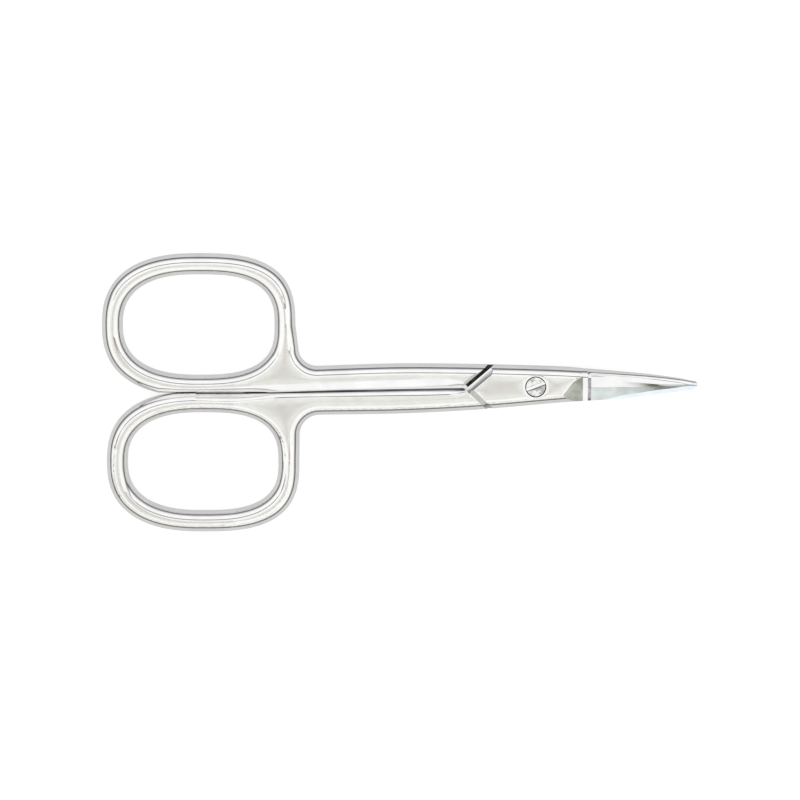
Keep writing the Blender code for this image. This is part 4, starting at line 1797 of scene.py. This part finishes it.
@dataclass(frozen=True)
class PivotScrew:
    """The slotted screw that both halves turn on."""

    head_radius: float = 0.0015
    head_height: float = 0.0007
    head_crown: float = 0.00012
    head_proud: float = 0.00002
    head_clearance: float = 0.0001
    head_break: float = 0.00006
    seat_clearance: float = 0.00004
    shank_radius: float = 0.0009
    shank_clearance: float = 0.00005
    end_break: float = 0.00012
    halo_width: float = 0.00022
    halo_slant: float = math.radians(12)
    slot_width: float = 0.00056
    slot_depth: float = 0.00028
    slot_wall: float = 0.00014
    wall_turn: float = 0.5
    slot_rise: float = 0.00008
    slot_slant: float = math.radians(21)
    turned_steps: int = 128
    crown_steps: int = 12

    @property
    def seat_level(self) -> float:
        """The underside of the head."""
        return STOCK.thickness + self.head_proud - self.head_height

    def profile(self) -> list[tuple[float, float]]:
        """Gives the turned outline, from the crown to the flush end.

        Returns:
            Pairs of radius and height.
        """
        rim_level = STOCK.thickness + self.head_proud - self.head_crown
        flat_radius = self.head_radius - self.head_break
        points = []
        for share in spread(0, 1, self.crown_steps + 1):
            points.append((share * flat_radius, rim_level + self.head_crown * (1 - share * share)))
        return points + [
            (self.head_radius, rim_level - self.head_break),
            (self.head_radius, self.seat_level),
            (self.shank_radius, self.seat_level),
            (self.shank_radius, self.end_break),
            (self.shank_radius - self.end_break, 0),
            (0, 0),
        ]

    def build(
        self, bench: Bench, finishes: dict[ScrewSurface, bpy.types.Material]
    ) -> bpy.types.Object:
        """Turns the screw, saws its slot and dresses it.

        Args:
            bench: the bench to work on.
            finishes: the materials by surface.

        Returns:
            The finished piece.
        """
        mesh = bpy.data.meshes.new("slotted_screw")
        points = self.profile()
        edges = [(index, index + 1) for index in range(len(points) - 1)]
        mesh.from_pydata([(radius, 0, level) for radius, level in points], edges, [])
        turned = bpy.data.objects.new("slotted_screw", mesh)
        spin = turned.modifiers.new("turned", "SCREW")
        spin.axis = "Z"
        spin.steps = self.turned_steps
        spin.render_steps = self.turned_steps
        spin.use_merge_vertices = True
        spin.merge_threshold = STOCK.weld
        spin.use_normal_calculate = True
        body = bench.to_mesh(turned)
        body.data.materials.clear()
        for surface in ScrewSurface:
            body.data.materials.append(finishes[surface])
        line = slanted(self.slot_slant)
        top = STOCK.thickness + self.head_proud
        half = self.slot_width / 2
        outline = [
            (half, top + self.slot_depth),
            (half, top - self.slot_depth + self.slot_rise),
            (-half + self.slot_wall, top - self.slot_depth),
            (-half - self.slot_wall, top + self.slot_depth),
        ]
        start = line * (-2 * self.head_radius)
        length = 4 * self.head_radius
        across = slanted(self.slot_slant + math.pi / 2)
        floor = finishes[ScrewSurface.SLOT_FLOOR]
        slot = bench.extrusion("screw_slot", start, line, across, outline, length, floor)
        bench.cut(body, slot)
        piece = bench.to_mesh(body)
        bench.clear()
        # The slot's wall that faces across gets slate-dark painted shade.
        for polygon in piece.data.polygons:
            sawn = polygon.material_index == ScrewSurface.SLOT_FLOOR.value
            if sawn and polygon.normal.dot(across) > self.wall_turn:
                polygon.material_index = ScrewSurface.SLOT_WALL.value
        shade(piece)
        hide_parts("pivot_screw")
        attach(piece, "rear")
        LOG.info("%s: %d faces on body rear", piece.name, len(piece.data.polygons))
        return piece


SCREW = PivotScrew()
FRONT_APEX_LEVEL = -0.0005
REAR_APEX_LEVEL = -0.00017
FRONT = Forging(
    name="front_forging",
    node="front_half",
    body="front",
    side=1,
    hole_length_share=0.998,
    hole_width_share=0.991,
    neck_reach=0.0327,
    neck_radius=0.00305,
    neck_lean=0.00005,
    heel_grind=0.0002,
    apex_level=FRONT_APEX_LEVEL,
    other_apex_level=REAR_APEX_LEVEL,
    outer_shares=LOWER_EDGE_SHARES,
    spine_shares=UPPER_EDGE_SHARES,
    cutting_shares=FRONT_CUTTING_SHARES,
    nose_share=0.27,
    tip_reach=STOCK.tip_reach,
    inner_size=(0.00074, 0.00042),
    inner_profile=STEPPED_INNER_PROFILE,
)
REAR = Forging(
    name="rear_forging",
    node="rear_half",
    body="rear",
    side=-1,
    hole_length_share=1.002,
    hole_width_share=1.009,
    neck_reach=0.0331,
    neck_radius=0.0028,
    neck_lean=0.00045,
    heel_grind=0.00052,
    apex_level=REAR_APEX_LEVEL,
    other_apex_level=FRONT_APEX_LEVEL,
    outer_shares=UPPER_EDGE_SHARES,
    spine_shares=LOWER_EDGE_SHARES,
    cutting_shares=REAR_CUTTING_SHARES,
    nose_share=0.16,
    tip_reach=STOCK.tip_reach - STOCK.tip_setback,
    inner_size=(0.0012, 0.00036),
    inner_profile=SMOOTH_INNER_PROFILE,
)


@dataclass(frozen=True)
class Studio:
    """The pale floor, the soft light all round and the camera of the photograph."""

    floor_half_size: float = 1.5
    floor_level: float = -0.00003
    floor_albedo: float = 0.36
    floor_glow: float = 0.75
    floor_sheen: float = 0.36
    camera_tilt: float = math.radians(-8)
    camera_distance: float = 1.2
    clip_ratio: float = 100
    frame_width: float = 0.121
    target: tuple[float, float, float] = (-0.02053, -0.00197, 0.00295)
    sky_level: float = 1.1
    sky_dark_height: float = 0.17
    sky_bright_height: float = 0.5
    sky_side_reach: float = 0.5
    low_warm: tuple[float, float, float] = (0.16, 0.155, 0.11)
    low_cool: tuple[float, float, float] = (0.15, 0.14, 0.165)
    spot_tilt: float = math.radians(-8)
    spot_inner: float = math.radians(3.5)
    spot_outer: float = math.radians(5.5)
    spot_colour: tuple[float, float, float] = (0.42, 0.32, 0.31)

    def build(self) -> None:
        """Builds floor, sky and camera."""
        self.build_floor()
        self.build_sky()
        self.build_camera()
        bpy.context.scene.view_settings.view_transform = "Standard"

    def build_floor(self) -> None:
        """Lays the floor, white to the camera and in reflections, with a faint shadow."""
        mesh = bpy.data.meshes.new("pale_floor")
        work = bmesh.new()
        bmesh.ops.create_grid(work, x_segments=1, y_segments=1, size=self.floor_half_size)
        work.to_mesh(mesh)
        work.free()
        floor = bpy.data.objects.new("pale_floor", mesh)
        floor.location.z = self.floor_level
        bpy.context.scene.collection.objects.link(floor)
        material = bpy.data.materials.new("pale_floor")
        material.use_nodes = True
        sheet = NodeSheet(material.node_tree)
        shader = material.node_tree.nodes["Principled BSDF"]
        shader.inputs["Base Color"].default_value = (self.floor_albedo,) * 3 + (1,)
        shader.inputs["Roughness"].default_value = 1
        shader.inputs["Specular IOR Level"].default_value = 0
        shader.inputs["Emission Color"].default_value = (1, 1, 1, 1)
        rays = sheet.add("ShaderNodeLightPath")
        seen = sheet.add("ShaderNodeMath", operation="MAXIMUM")
        sheet.join(rays.outputs["Is Camera Ray"], seen.inputs[0])
        sheet.join(rays.outputs["Is Transmission Ray"], seen.inputs[1])
        glow = sheet.add("ShaderNodeMath", {1: self.floor_glow}, operation="MULTIPLY")
        sheet.join(seen.outputs[0], glow.inputs[0])
        mirrored = sheet.add("ShaderNodeMath", {1: self.floor_sheen}, operation="MULTIPLY_ADD")
        sheet.join(rays.outputs["Is Glossy Ray"], mirrored.inputs[0])
        sheet.join(glow.outputs[0], mirrored.inputs[2])
        sheet.join(mirrored.outputs[0], shader.inputs["Emission Strength"])
        mesh.materials.append(material)

    def build_sky(self) -> None:
        """Builds a soft box all round: bright, with a dim spot above and a dark horizon."""
        world = bpy.data.worlds.new("soft_box")
        bpy.context.scene.world = world
        world.use_nodes = True
        sheet = NodeSheet(world.node_tree)
        background = world.node_tree.nodes["Background"]
        direction = sheet.add("ShaderNodeTexCoord").outputs["Generated"]
        split = sheet.add("ShaderNodeSeparateXYZ")
        sheet.join(direction, split.inputs[0])
        heights = {"From Min": self.sky_dark_height, "From Max": self.sky_bright_height}
        height = sheet.add("ShaderNodeMapRange", heights)
        sheet.join(split.outputs["Z"], height.inputs["Value"])
        sides = {"From Min": -self.sky_side_reach, "From Max": self.sky_side_reach}
        side = sheet.add("ShaderNodeMapRange", sides)
        sheet.join(split.outputs["Y"], side.inputs["Value"])
        low = sheet.add("ShaderNodeMix", data_type="RGBA")
        low.inputs["A"].default_value = (*self.low_warm, 1)
        low.inputs["B"].default_value = (*self.low_cool, 1)
        sheet.join(side.outputs["Result"], low.inputs["Factor"])
        sky = sheet.add("ShaderNodeMix", data_type="RGBA")
        sky.inputs["B"].default_value = (self.sky_level,) * 3 + (1,)
        sheet.join(height.outputs["Result"], sky.inputs["Factor"])
        sheet.join(low.outputs["Result"], sky.inputs["A"])
        aim = (0, math.sin(self.spot_tilt), math.cos(self.spot_tilt))
        near = sheet.add("ShaderNodeVectorMath", {1: aim}, operation="DOT_PRODUCT")
        sheet.join(direction, near.inputs[0])
        bounds = {"From Min": math.cos(self.spot_outer), "From Max": math.cos(self.spot_inner)}
        inside = sheet.add("ShaderNodeMapRange", bounds, interpolation_type="SMOOTHSTEP")
        sheet.join(near.outputs["Value"], inside.inputs["Value"])
        spot = sheet.add("ShaderNodeMix", data_type="RGBA")
        spot.inputs["B"].default_value = (*self.spot_colour, 1)
        sheet.join(inside.outputs["Result"], spot.inputs["Factor"])
        sheet.join(sky.outputs["Result"], spot.inputs["A"])
        rays = sheet.add("ShaderNodeLightPath")
        plain = sheet.add("ShaderNodeMix", data_type="RGBA")
        plain.inputs["A"].default_value = (1, 1, 1, 1)
        sheet.join(rays.outputs["Is Glossy Ray"], plain.inputs["Factor"])
        sheet.join(spot.outputs["Result"], plain.inputs["B"])
        sheet.join(plain.outputs["Result"], background.inputs["Color"])

    def build_camera(self) -> None:
        """Sets the camera nearly square above, far enough away to see hardly any perspective."""
        data = bpy.data.cameras.new("camera")
        data.lens = data.sensor_width * self.camera_distance / self.frame_width
        data.clip_start = self.camera_distance / self.clip_ratio
        data.clip_end = self.camera_distance * self.clip_ratio
        camera = bpy.data.objects.new("camera", data)
        camera.rotation_euler = (self.camera_tilt, 0, 0)
        back = Vector((0, -math.sin(self.camera_tilt), math.cos(self.camera_tilt)))
        camera.location = Vector(self.target) + back * self.camera_distance
        bpy.context.scene.collection.objects.link(camera)
        bpy.context.scene.camera = camera


def main() -> None:
    """Builds the studio, both halves and the screw."""
    logging.basicConfig(level=logging.INFO, format="%(name)s: %(message)s")
    Studio().build()
    groups = ShaderGroups()
    finishes = {surface: finish.material(groups) for surface, finish in HALF_FINISHES.items()}
    bench = Bench()
    REAR.build(bench, finishes)
    FRONT.build(bench, finishes)
    screw_finishes = {
        ScrewSurface.TURNED: SCREW_FINISH.material(groups),
        ScrewSurface.SLOT_FLOOR: finishes[Surface.POLISHED],
        # The slot's wall takes the slate-dark painted shade of the inner walls.
        ScrewSurface.SLOT_WALL: finishes[Surface.WALL],
    }
    SCREW.build(bench, screw_finishes)


if __name__ == "__main__":
    main()
